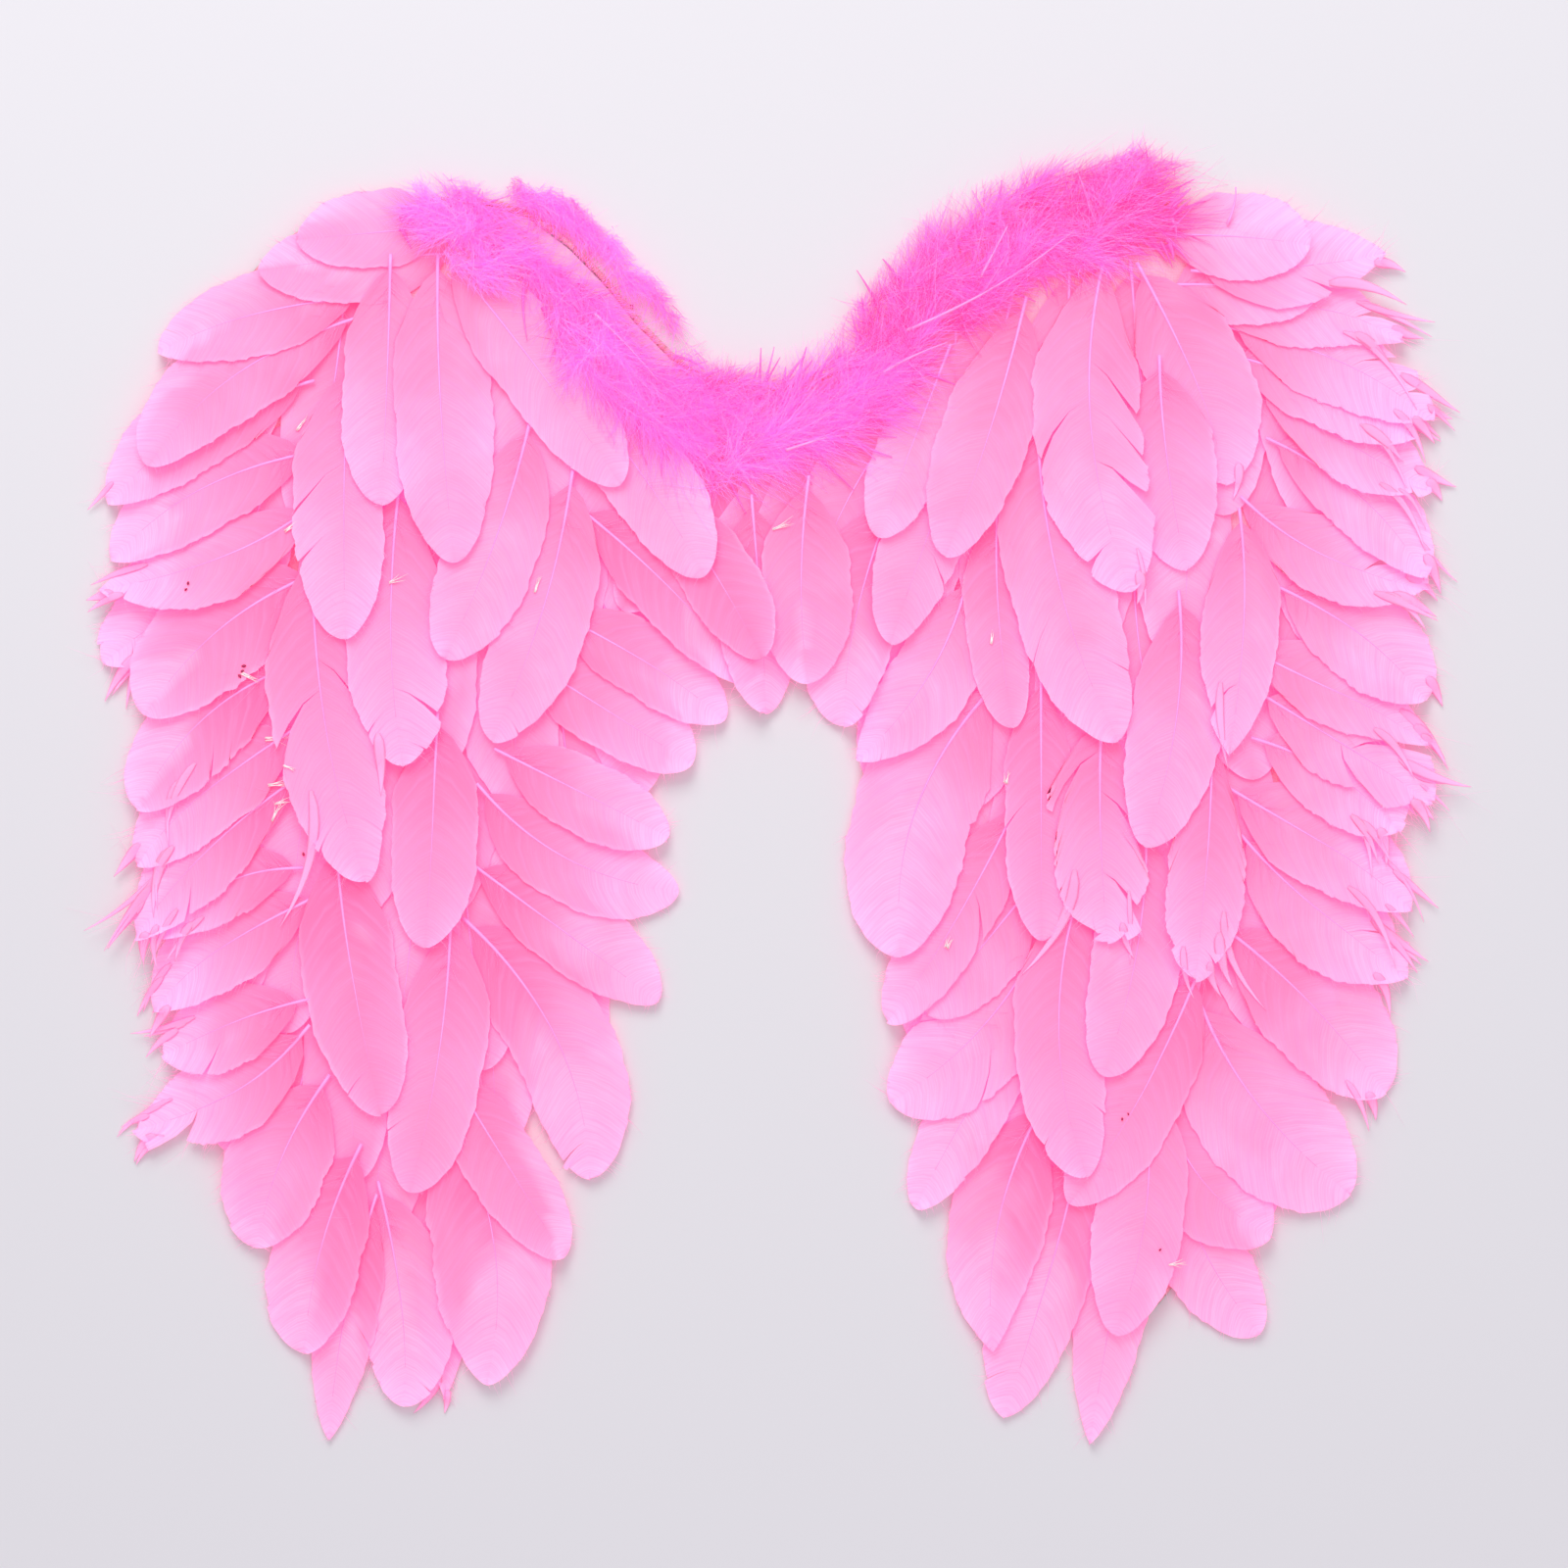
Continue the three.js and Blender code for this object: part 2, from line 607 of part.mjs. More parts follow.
function layFeather(ground, row) {
  const sheet = featherSheet(row, FLOOR_CLEARANCE);
  layOn(ground, sheet, LAY_GAP);
  stiffen(sheet);
  sheet.forEach((points, i) => {
    points.forEach((point) => {
      point.z += row.lift * TIP_LIFT * STATIONS[i] ** 2;
      point.top = point.z + point.thickness;
    });
  });
  coverGround(ground, sheet);
  return sheet;
}

// The smallest convex outline round points, counterclockwise
function hullOf(points) {
  const sorted = [...points].sort((a, b) => a.x - b.x || a.y - b.y);
  const chain = (ordered) => ordered.reduce((kept, point) => {
    const turn = () => {
      const [a, b] = kept.slice(-2);
      return (b.x - a.x) * (point.y - a.y) - (b.y - a.y) * (point.x - a.x);
    };
    while (kept.length > 1 && turn() <= 0) {
      kept.pop();
    }
    return [...kept, point];
  }, []).slice(0, -1);
  return [...chain(sorted), ...chain(sorted.reverse())];
}

// The backing that a fan is glued to: one flat patch under all its roots
function makePatch(ground, rows) {
  const outline = hullOf(rows.flatMap((row) => {
    const root = place({ x: row.rootX, y: row.rootY });
    return [[-1, -1], [1, -1], [1, 1], [-1, 1]].map(([x, y]) => (
      new THREE.Vector2(root.x + x * PATCH_MARGIN, root.y + y * PATCH_MARGIN)));
  }));
  let low = 0;
  overOutline(outline, (x, y) => { low = Math.max(low, ground.height(x, y) + LAY_GAP); });
  overOutline(outline, (x, y) => ground.raise(x, y, low + PATCH_THICKNESS));
  const geometry = new THREE.ExtrudeGeometry(new THREE.Shape(outline), {
    depth: PATCH_THICKNESS,
    bevelEnabled: false,
  });
  return { geometry: geometry.translate(0, 0, low), low };
}

// A feather's glued quill, from inside the patch up into the feather's root
function makeQuill(sheet, patchLow) {
  const [start, next] = [sheet[0][1], sheet[1][1]];
  const share = QUILL_INSET / Math.hypot(next.x - start.x, next.y - start.y);
  const root = new THREE.Vector3().copy(start).lerp(next, share);
  const low = patchLow + PATCH_THICKNESS / 2;
  const high = root.z + VANE_THICKNESS / 2;
  const quill = new THREE.BoxGeometry(QUILL_WIDTH, QUILL_WIDTH, high - low);
  return quill.translate(root.x, root.y, (high + low) / 2);
}

function addFan(ground, name, rows) {
  const patch = makePatch(ground, rows);
  const sheets = rows.map((row) => layFeather(ground, row));
  const pieces = sheets.flatMap((sheet) => [plate(sheet), makeQuill(sheet, patch.low)]);
  addPiece(name, fuse([patch.geometry, ...pieces]), materials.feather);
}

function addCovers(ground, name, rows) {
  rows.forEach((row, index) => {
    const number = String(index + 1).padStart(2, '0');
    addPiece(`${name}_${number}`, plate(layFeather(ground, row)), materials.cover);
  });
}

// Marabou trim

const DOME = [180, 150, 120, 90, 60, 30, 0].map((degrees) => THREE.MathUtils.degToRad(degrees));

// Sections tested along a stretch of trim, which reaches this many locks to either side
const SEAT_STEPS = 8;
const SEAT_REACH = 2;

const trimLine = new THREE.SplineCurve(TRIM.map((row) => place(row)));

// The trim's middle, direction and width at a row of TRIM, or between two rows
function trimAt(position) {
  const share = position / (TRIM.length - 1);
  const index = Math.min(Math.floor(position), TRIM.length - 2);
  return {
    middle: trimLine.getPoint(share),
    along: trimLine.getTangent(share),
    width: TRIM_WIDTH
      * THREE.MathUtils.lerp(TRIM[index].width, TRIM[index + 1].width, position - index),
  };
}

// How low the trim may lie over a stretch: its base is flat under the core's middle and rises from
// there to the tips of its side locks
function restingHeight(ground, from, to) {
  let highest = 0;
  for (let i = 0; i <= SEAT_STEPS; i++) {
    const { middle, along, width } = trimAt(THREE.MathUtils.lerp(from, to, i / SEAT_STEPS));
    const base = BASE_SHARE * (width / 2 - LOCK_LENGTH);
    for (let across = -width / 2; across <= width / 2; across += CELL / 2) {
      const x = middle.x - along.y * across;
      const outside = Math.max(0, Math.abs(across) - base) / (width / 2 - base);
      const height = ground.height(x, middle.y + along.x * across) - outside * LOCK_FOOT;
      highest = Math.max(highest, height + LAY_GAP);
    }
  }
  return highest;
}

// A section of the trim, where every other point of the dome is a lock's tip but not at an end.
// end is -1 at the length's start and 1 at its end, which stop short of the next length.
function trimSection(position, low, station, end) {
  const { middle, along, width } = trimAt(position);
  const core = width / 2 - LOCK_LENGTH;
  const pointAt = (across, up, sway) => {
    const forward = sway - end * GAP / 2;
    const x = middle.x + along.x * forward - along.y * across;
    const y = middle.y + along.y * forward + along.x * across;
    return new THREE.Vector3(x, y, low + up);
  };
  const dome = DOME.map((angle, k) => {
    const lock = end === 0 ? (station + k) % 2 : 0;
    const across = Math.cos(angle) * (core + lock * LOCK_LENGTH);
    const up = LOCK_FOOT + Math.sin(angle) * (TRIM_HEIGHT - LOCK_FOOT + lock * LOCK_RISE);
    return pointAt(across, up, lock * LOCK_SWAY * Math.sin(station * SWAY_TURN + k));
  });
  return [...dome, pointAt(core * BASE_SHARE, 0, 0), pointAt(-core * BASE_SHARE, 0, 0)];
}

// A closed body through sections that have as many points
function loft(sections) {
  const count = sections[0].length;
  const positions = sections.flat().flatMap((point) => [point.x, point.y, point.z]);
  const indices = [];
  for (let i = 0; i + 1 < sections.length; i++) {
    for (let k = 0; k < count; k++) {
      const next = (k + 1) % count;
      const [a, b] = [i * count + k, i * count + next];
      indices.push(a, b + count, b, a, a + count, b + count);
    }
  }
  const last = (sections.length - 1) * count;
  for (let k = 1; k + 1 < count; k++) {
    indices.push(0, k, k + 1);
    indices.push(last, last + k + 1, last + k);
  }
  const geometry = new THREE.BufferGeometry();
  geometry.setAttribute('position', new THREE.Float32BufferAttribute(positions, 3));
  geometry.setIndex(indices);
  return geometry;
}

function addTrimLength(ground, { name, from, to }) {
  const length = trimLine.getLength() * (to - from) / (TRIM.length - 1);
  const count = Math.ceil(length / LOCK_SPACING);
  const pitch = (to - from) / count;
  const sections = [];
  for (let i = 0; i <= count; i++) {
    const position = from + i * pitch;
    const before = Math.max(0, position - SEAT_REACH * pitch);
    const after = Math.min(TRIM.length - 1, position + SEAT_REACH * pitch);
    const end = Number(i === count) - Number(i === 0);
    sections.push(trimSection(position, restingHeight(ground, before, after), i, end));
  }
  addPiece(name, loft(sections), materials.marabou);
}

// The wings, in the order of laying

const ground = new Ground(FLOOR_CLEARANCE);

for (const [name, side] of [['left', -1], ['right', 1]]) {
  const panel = makePanel(side);
  addPiece(`arm_loop_${name}`, makeArmLoop(side), materials.elastic);
  addPiece(`rim_${name}`, makeRimWire(side), materials.wire);
  addPiece(`back_panel_${name}`, panel.geometry, materials.panel);
  coverFrame(ground, side, panel.outline);
}

addFan(ground, 'tip_fan_left', TIP_FAN_LEFT);
addFan(ground, 'tip_fan_right', TIP_FAN_RIGHT);
addFan(ground, 'inner_fan_left', INNER_FAN_LEFT);
addFan(ground, 'inner_fan_right', INNER_FAN_RIGHT);
addFan(ground, 'outer_fan_left', OUTER_FAN_LEFT);
addFan(ground, 'outer_fan_right', OUTER_FAN_RIGHT);
addFan(ground, 'centre_fan', CENTRE_FAN);
addCovers(ground, 'cover_feather_left', COVERS_LEFT);
addCovers(ground, 'cover_feather_right', COVERS_RIGHT);
TRIM_LENGTHS.forEach((length) => addTrimLength(ground, length));

// The origin is the middle of the box, on the surface that the wings lie on
const box = new THREE.Box3().setFromObject(wings);
const centre = box.getCenter(new THREE.Vector3());
wings.position.set(-centre.x, -centre.y, -box.min.z);

export default wings;
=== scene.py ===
# Feather costume wings, lying flat with their feathers up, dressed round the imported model.
# Tables and sizes are in millimetres or in shares of named sizes. Meshes are built in millimetres
# and turned to metres in one place. Every feather is laid on what already lies there.

import math

import bpy
import numpy as np
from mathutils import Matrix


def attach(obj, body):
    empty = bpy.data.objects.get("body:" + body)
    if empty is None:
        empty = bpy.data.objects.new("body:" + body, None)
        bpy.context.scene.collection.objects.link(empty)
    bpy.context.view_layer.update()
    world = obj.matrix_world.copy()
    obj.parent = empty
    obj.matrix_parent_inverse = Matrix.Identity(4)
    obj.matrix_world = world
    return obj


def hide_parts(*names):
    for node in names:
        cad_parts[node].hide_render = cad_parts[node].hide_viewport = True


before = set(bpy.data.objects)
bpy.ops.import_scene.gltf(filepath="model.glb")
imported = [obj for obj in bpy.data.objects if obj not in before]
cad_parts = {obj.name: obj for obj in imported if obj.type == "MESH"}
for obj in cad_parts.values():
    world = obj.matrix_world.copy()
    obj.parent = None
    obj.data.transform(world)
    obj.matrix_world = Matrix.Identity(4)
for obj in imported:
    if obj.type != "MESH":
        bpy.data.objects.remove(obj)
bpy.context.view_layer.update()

MM = 0.001

# The wings' size, and where the tables' zero lies in the frame
HALF_SPAN = 300.0
HEIGHT = 568.0
TABLE_ORIGIN = np.array([-0.389, -285.609])

# Frame under the feathers
WIRE_DIAMETER = 3.0
PANEL_TOP = 2.5
TAPE_TURN = 6.0
TAPE_STEP = 1.5
OUTLINE_POINTS = 300

# Feathers
FEATHER_WIDTH = 42.0
VANE_THICKNESS = 0.22
RACHIS_WIDTH = 1.7
RACHIS_END = 0.82
RACHIS_SIDES = 6
CALAMUS_LENGTH = 5.0
TIP_LIFT = 4.5
ARCH = 1.6
TWIST = 2.5
THIN_DEPTH = 5.0
LAY_GAP = 0.45
FLOOR_CLEARANCE = 0.8
ROOT_WIDTH = 0.16
VANE_FULL_AT = 0.36
TIP_STARTS_AT = 0.59
TIP_EARLIER = 0.4
TIP_TAPER = 0.04
HOOK_STARTS_AT = 0.5
HOOK = 0.09
TIP_HOLDS = 0.2
BARB_SPACING = 1.5
SLIT_FADE = 4.0
BARB_LEAN = 1.15
BARB_CURVE = 1.45
VANE_STARTS_AT = 0.01
ACROSS = (0.0, 0.36, 0.68, 0.9, 1.0)
HIDDEN_BARB_SPACING = 4.0
HIDDEN_ACROSS = (0.0, 0.35, 0.7, 1.0)
UNDER_LEAN = 0.10
# Painted highlight: how much paler the tone is painted along the vane's outer edge
PAINTED_EDGE_HIGHLIGHT = 0.45

# Loose barbs and locks at the feathers' edges, tips and feet
WISPS = 20
WISP_LENGTH = 2.0
WISP_RADIUS = 0.10
TIP_LOCKS = 11
TIP_LOCK_WIDTH = 4.4
DOWN_COUNT = 16
DOWN_LENGTH = 13.0
DOWN_RADIUS = 0.11
UNDYED_BARBS = 5
UNDYED_RADIUS = 0.4

# Marabou trim. Where it starts and stops, where its first plumes turn back and where the wire shows
# are rows of TRIM. PLUMES_OUTSIDE is the share of plumes beyond the wire, OUTSIDE_AT how far out.
TRIM_WIDTH = 56.0
PLUMES = 32
PLUME_LENGTH = 44.0
BARB_LENGTH = 22.0
BARB_RADIUS = 0.16
TRIM_LOW = 1.0
TRIM_RISE = 5.0
TRIM_OVERHANG = 4.0
TRIM_TOP = 26.0
BED_LOCKS = 170
BED_LENGTH = 17.0
BED_WIDTH = 1.3
PLUMES_FROM_TO = (0.5, 16.1)
PLUMES_TURN_AT = 1.3
WIRE_SHOWS = (1.6, 5.3)
PLUMES_OUTSIDE = 0.34
OUTSIDE_AT = 0.47
CLUMPS = 28
CLUMP_BARBS = 8
SHAFT_HEIGHT = 9.0
SHAFT_POINTS = 14

# The grid of heights that feathers are laid on
CELL = 1.0
GRID_MARGIN = 40.0

# Camera: the width and middle of what the photograph shows, and the lens
PHOTO_WIDTH = 702.0
PHOTO_CENTRE = np.array([7.73, 10.46])
LENS = 85.0
SENSOR = 36.0
FEATHER_LEVEL = 8.0
FLOOR_HALF = 4.0

RNG = np.random.default_rng(20)

FEATHER_COLUMNS = ("root_x", "root_y", "tip_x", "tip_y", "width", "bow", "lift", "end", "fray", "pale")


def table(columns, rows):
    """Turns the rows of a table into dictionaries with its column names."""
    return [dict(zip(columns, row)) for row in rows]


# Rim of the right wing, from the notch at the top round the wing to the arch below the centre
RIM = table(("x", "y"), [
    (0.000, 0.834),
    (0.100, 0.845),
    (0.175, 0.878),
    (0.250, 0.925),
    (0.330, 0.963),
    (0.420, 0.982),
    (0.600, 0.980),
    (0.690, 0.960),
    (0.780, 0.915),
    (0.845, 0.845),
    (0.867, 0.745),
    (0.860, 0.630),
    (0.800, 0.405),
    (0.755, 0.300),
    (0.690, 0.205),
    (0.610, 0.128),
    (0.540, 0.095),
    (0.480, 0.112),
    (0.430, 0.180),
    (0.385, 0.290),
    (0.305, 0.500),
    (0.265, 0.575),
    (0.195, 0.622),
    (0.000, 0.636),
])

# A feather lies from its root to its tip. width is a share of FEATHER_WIDTH, bow is how far its
# middle stands to the left of the straight line, as a share of its length, lift is how far its
# tip rises, as a share of TIP_LIFT, and end is the shape of its tip: 1 is pointed, 0.5 is round.
# fray is how far its barbs part at the edge, and pale is how light its dye took.
TIP_FAN_LEFT = table(FEATHER_COLUMNS, [
    (-0.500, 0.170, -0.470, 0.035, 0.55, 0.00, 0.3, 1.0, 0.5, 0.4),
    (-0.575, 0.200, -0.535, 0.030, 1.00, 0.03, 0.6, 0.5, 0.3, 0.6),
    (-0.585, 0.190, -0.655, 0.003, 0.65, -0.03, 0.2, 0.7, 0.2, 0.3),
    (-0.610, 0.230, -0.690, 0.072, 1.00, -0.05, 0.4, 0.5, 0.1, 0.2),
    (-0.660, 0.285, -0.760, 0.155, 1.10, -0.06, 0.3, 0.5, 0.1, 0.3),
    (-0.490, 0.275, -0.420, 0.047, 1.25, 0.11, 0.8, 0.6, 0.3, 0.4),
])

TIP_FAN_RIGHT = table(FEATHER_COLUMNS, [
    (0.550, 0.215, 0.485, 0.000, 0.80, 0.00, 0.3, 0.8, 0.1, 0.6),
    (0.600, 0.230, 0.740, 0.087, 0.90, -0.06, 0.4, 0.5, 0.1, 0.6),
    (0.470, 0.235, 0.352, 0.022, 1.00, 0.02, 0.3, 0.6, 0.2, 0.4),
    (0.410, 0.265, 0.340, 0.073, 1.05, -0.08, 0.5, 0.8, 0.1, 0.3),
    (0.585, 0.285, 0.755, 0.165, 1.15, -0.12, 0.4, 0.5, 0.1, 0.5),
    (0.560, 0.290, 0.518, 0.087, 0.95, 0.07, 0.6, 0.5, 0.1, 0.6),
])

INNER_FAN_LEFT = table(FEATHER_COLUMNS, [
    (-0.470, 0.295, -0.300, 0.148, 0.80, 0.00, 0.4, 0.5, 0.1, 0.4),
    (-0.440, 0.410, -0.260, 0.210, 1.10, 0.10, 0.6, 0.5, 0.2, 0.4),
    (-0.430, 0.455, -0.160, 0.350, 0.85, 0.00, 0.5, 0.5, 0.1, 0.4),
    (-0.420, 0.515, -0.130, 0.437, 0.90, -0.10, 0.3, 0.5, 0.1, 0.4),
    (-0.390, 0.545, -0.145, 0.480, 0.80, 0.00, 0.5, 0.5, 0.1, 0.5),
    (-0.360, 0.620, -0.110, 0.537, 0.90, 0.00, 0.6, 0.5, 0.1, 0.4),
    (-0.310, 0.655, -0.057, 0.575, 0.80, 0.02, 0.4, 0.5, 0.3, 0.6),
    (-0.270, 0.735, -0.020, 0.602, 0.90, 0.03, 0.6, 0.5, 0.2, 0.2),
])

INNER_FAN_RIGHT = table(FEATHER_COLUMNS, [
    (0.400, 0.350, 0.218, 0.188, 0.75, 0.00, 0.3, 0.5, 0.2, 0.8),
    (0.420, 0.410, 0.185, 0.270, 1.15, 0.08, 0.5, 0.5, 0.3, 0.8),
    (0.395, 0.440, 0.240, 0.340, 0.85, 0.00, 0.3, 0.5, 0.3, 0.7),
    (0.370, 0.500, 0.185, 0.333, 0.80, 0.02, 0.4, 0.5, 0.3, 0.7),
    (0.335, 0.595, 0.197, 0.386, 1.30, -0.11, 0.5, 0.5, 0.2, 0.7),
    (0.300, 0.680, 0.135, 0.540, 0.90, 0.08, 0.6, 0.7, 0.1, 0.8),
])

OUTER_FAN_LEFT = table(FEATHER_COLUMNS, [
    (-0.690, 0.325, -0.950, 0.255, 0.95, 0.11, 0.4, 0.7, 0.8, 0.4),
    (-0.695, 0.350, -0.900, 0.305, 0.85, -0.04, 0.5, 0.6, 0.6, 0.5),
    (-0.680, 0.430, -0.925, 0.350, 0.95, -0.03, 0.4, 0.7, 0.7, 0.4),
    (-0.700, 0.455, -0.905, 0.405, 0.80, -0.11, 0.9, 0.7, 1.0, 0.4),
    (-0.700, 0.525, -0.940, 0.400, 0.90, -0.05, 0.8, 0.7, 1.0, 0.3),
    (-0.700, 0.565, -0.950, 0.465, 0.90, -0.02, 0.3, 0.6, 0.7, 0.3),
    (-0.700, 0.615, -0.935, 0.500, 1.00, -0.11, 0.5, 0.5, 0.5, 0.3),
    (-0.720, 0.705, -1.000, 0.625, 0.85, 0.00, 0.3, 0.6, 0.6, 0.8),
    (-0.680, 0.685, -0.925, 0.575, 1.20, -0.08, 0.6, 0.5, 0.2, 0.4),
    (-0.680, 0.738, -1.000, 0.680, 0.85, 0.08, 0.8, 0.8, 0.6, 0.6),
    (-0.680, 0.782, -0.980, 0.700, 0.95, -0.08, 0.4, 0.6, 0.2, 0.4),
    (-0.690, 0.837, -0.985, 0.745, 0.95, -0.07, 0.5, 0.6, 0.4, 0.6),
    (-0.620, 0.887, -0.925, 0.775, 1.00, -0.08, 0.5, 0.5, 0.3, 0.5),
    (-0.610, 0.905, -0.910, 0.865, 0.90, -0.04, 0.3, 0.6, 0.2, 0.6),
    (-0.470, 0.940, -0.757, 0.925, 0.90, -0.02, 0.4, 0.6, 0.1, 0.6),
    (-0.470, 0.962, -0.700, 0.950, 0.85, 0.00, 0.3, 0.6, 0.1, 0.6),
])

OUTER_FAN_RIGHT = table(FEATHER_COLUMNS, [
    (0.650, 0.345, 0.880, 0.200, 1.35, -0.08, 0.4, 0.5, 0.3, 0.8),
    (0.690, 0.405, 0.925, 0.276, 1.20, 0.04, 0.3, 0.5, 0.5, 0.8),
    (0.715, 0.477, 0.965, 0.375, 1.10, -0.05, 0.4, 0.7, 0.7, 0.8),
    (0.700, 0.515, 0.975, 0.430, 1.00, 0.00, 0.6, 0.7, 0.7, 0.8),
    (0.740, 0.555, 0.945, 0.485, 1.00, 0.07, 0.9, 0.6, 0.8, 0.9),
    (0.745, 0.590, 0.995, 0.508, 0.90, 0.00, 0.5, 0.8, 0.8, 0.9),
    (0.720, 0.628, 1.000, 0.562, 0.85, -0.02, 0.4, 0.9, 0.8, 0.9),
    (0.770, 0.675, 0.990, 0.590, 1.05, 0.05, 0.4, 0.5, 0.4, 1.0),
    (0.720, 0.742, 0.990, 0.680, 0.85, -0.09, 0.8, 0.8, 0.7, 0.9),
    (0.760, 0.790, 0.990, 0.688, 0.90, 0.07, 0.4, 0.6, 0.5, 1.0),
    (0.740, 0.835, 1.000, 0.755, 0.90, -0.03, 0.5, 0.7, 0.7, 0.9),
    (0.700, 0.858, 0.975, 0.797, 0.85, 0.04, 0.4, 0.6, 0.7, 0.9),
    (0.700, 0.880, 1.000, 0.812, 0.85, 0.05, 0.3, 0.6, 0.8, 0.9),
    (0.670, 0.890, 0.955, 0.878, 0.80, 0.08, 0.5, 0.8, 0.8, 0.9),
    (0.610, 0.915, 0.820, 0.905, 0.95, 0.03, 0.3, 0.5, 0.3, 0.8),
    (0.650, 0.925, 0.925, 0.945, 0.90, -0.05, 0.7, 0.8, 0.5, 0.9),
    (0.590, 0.955, 0.810, 0.945, 0.95, 0.02, 0.4, 0.5, 0.2, 0.8),
])

CENTRE_FAN = table(FEATHER_COLUMNS, [
    (-0.020, 0.740, 0.005, 0.577, 0.80, 0.00, 0.4, 0.5, 0.2, 0.6),
    (0.190, 0.745, 0.110, 0.568, 1.00, -0.04, 0.5, 0.5, 0.3, 0.5),
    (0.062, 0.755, 0.061, 0.600, 0.95, -0.03, 0.5, 0.5, 0.1, 0.6),
    (-0.150, 0.745, -0.005, 0.620, 0.80, 0.02, 0.3, 0.5, 0.1, 0.3),
])

# The fans in the order of laying
FANS = (
    ("tip_fan_left", TIP_FAN_LEFT),
    ("tip_fan_right", TIP_FAN_RIGHT),
    ("inner_fan_left", INNER_FAN_LEFT),
    ("inner_fan_right", INNER_FAN_RIGHT),
    ("outer_fan_left", OUTER_FAN_LEFT),
    ("outer_fan_right", OUTER_FAN_RIGHT),
    ("centre_fan", CENTRE_FAN),
)

COVERS_LEFT = table(FEATHER_COLUMNS, [
    (-0.470, 0.410, -0.530, 0.200, 0.95, 0.03, 0.3, 0.5, 0.1, 0.4),
    (-0.640, 0.470, -0.565, 0.262, 1.00, -0.03, 0.3, 0.5, 0.2, 0.3),
    (-0.490, 0.570, -0.505, 0.392, 0.95, 0.00, 0.3, 0.5, 0.3, 0.3),
    (-0.675, 0.700, -0.600, 0.445, 1.05, -0.04, 0.4, 0.5, 0.4, 0.5),
    (-0.548, 0.750, -0.545, 0.535, 1.05, -0.03, 0.4, 0.5, 0.4, 0.6),
    (-0.290, 0.760, -0.410, 0.555, 1.00, 0.04, 0.4, 0.5, 0.1, 0.7),
    (-0.355, 0.800, -0.480, 0.620, 1.00, 0.03, 0.4, 0.5, 0.2, 0.7),
    (-0.620, 0.850, -0.620, 0.635, 0.95, -0.02, 0.3, 0.5, 0.3, 0.6),
    (-0.300, 0.840, -0.090, 0.685, 0.95, 0.03, 0.4, 0.5, 0.2, 0.7),
    (-0.560, 0.930, -0.570, 0.740, 0.90, 0.00, 0.4, 0.5, 0.2, 0.6),
    (-0.490, 0.930, -0.460, 0.695, 1.05, -0.02, 0.4, 0.5, 0.1, 0.9),
    (-0.470, 0.935, -0.215, 0.757, 0.95, 0.01, 0.4, 0.5, 0.1, 0.7),
])

COVERS_RIGHT = table(FEATHER_COLUMNS, [
    (0.640, 0.368, 0.455, 0.190, 0.90, 0.03, 0.2, 0.5, 0.3, 0.5),
    (0.465, 0.435, 0.475, 0.213, 0.95, -0.08, 0.2, 0.5, 0.2, 0.4),
    (0.567, 0.480, 0.500, 0.292, 0.95, 0.05, 0.3, 0.5, 0.1, 0.5),
    (0.665, 0.550, 0.635, 0.368, 0.85, 0.02, 0.3, 0.5, 0.7, 0.5),
    (0.410, 0.600, 0.410, 0.398, 0.75, 0.00, 0.3, 0.5, 0.2, 0.5),
    (0.500, 0.570, 0.510, 0.397, 1.10, -0.02, 0.3, 0.5, 0.6, 0.5),
    (0.617, 0.665, 0.560, 0.472, 1.00, 0.06, 0.4, 0.5, 0.1, 0.6),
    (0.345, 0.735, 0.370, 0.565, 0.65, -0.03, 0.3, 0.5, 0.1, 0.5),
    (0.708, 0.730, 0.680, 0.545, 0.85, 0.05, 0.3, 0.8, 0.4, 0.6),
    (0.562, 0.925, 0.700, 0.760, 1.10, 0.02, 0.1, 0.5, 0.5, 0.5),
    (0.405, 0.800, 0.520, 0.555, 1.15, -0.05, 0.5, 0.5, 0.2, 0.8),
    (0.587, 0.850, 0.630, 0.690, 1.00, -0.03, 0.3, 0.6, 0.3, 0.6),
    (0.330, 0.840, 0.180, 0.632, 0.90, 0.00, 0.4, 0.5, 0.2, 0.8),
    (0.270, 0.860, 0.165, 0.715, 0.75, 0.00, 0.3, 0.5, 0.3, 0.8),
    (0.385, 0.897, 0.265, 0.700, 0.95, 0.02, 0.4, 0.5, 0.2, 0.7),
    (0.503, 0.930, 0.545, 0.672, 1.15, -0.08, 0.5, 0.5, 0.5, 0.8),
])

# Rows of feathers that fill the panel under the fans and covers: the height of their roots, the
# first and last root across the wing, how many there are and their length
UNDER_ROWS = table(("y", "first", "last", "count", "length"), [
    (0.920, 0.30, 0.73, 6, 0.19),
    (0.800, 0.26, 0.72, 5, 0.19),
    (0.805, 0.02, 0.20, 4, 0.14),
    (0.700, 0.28, 0.76, 6, 0.19),
    (0.600, 0.31, 0.76, 6, 0.19),
    (0.500, 0.35, 0.74, 5, 0.19),
    (0.410, 0.40, 0.70, 4, 0.19),
    (0.330, 0.44, 0.66, 3, 0.17),
    (0.235, 0.49, 0.59, 2, 0.11),
])

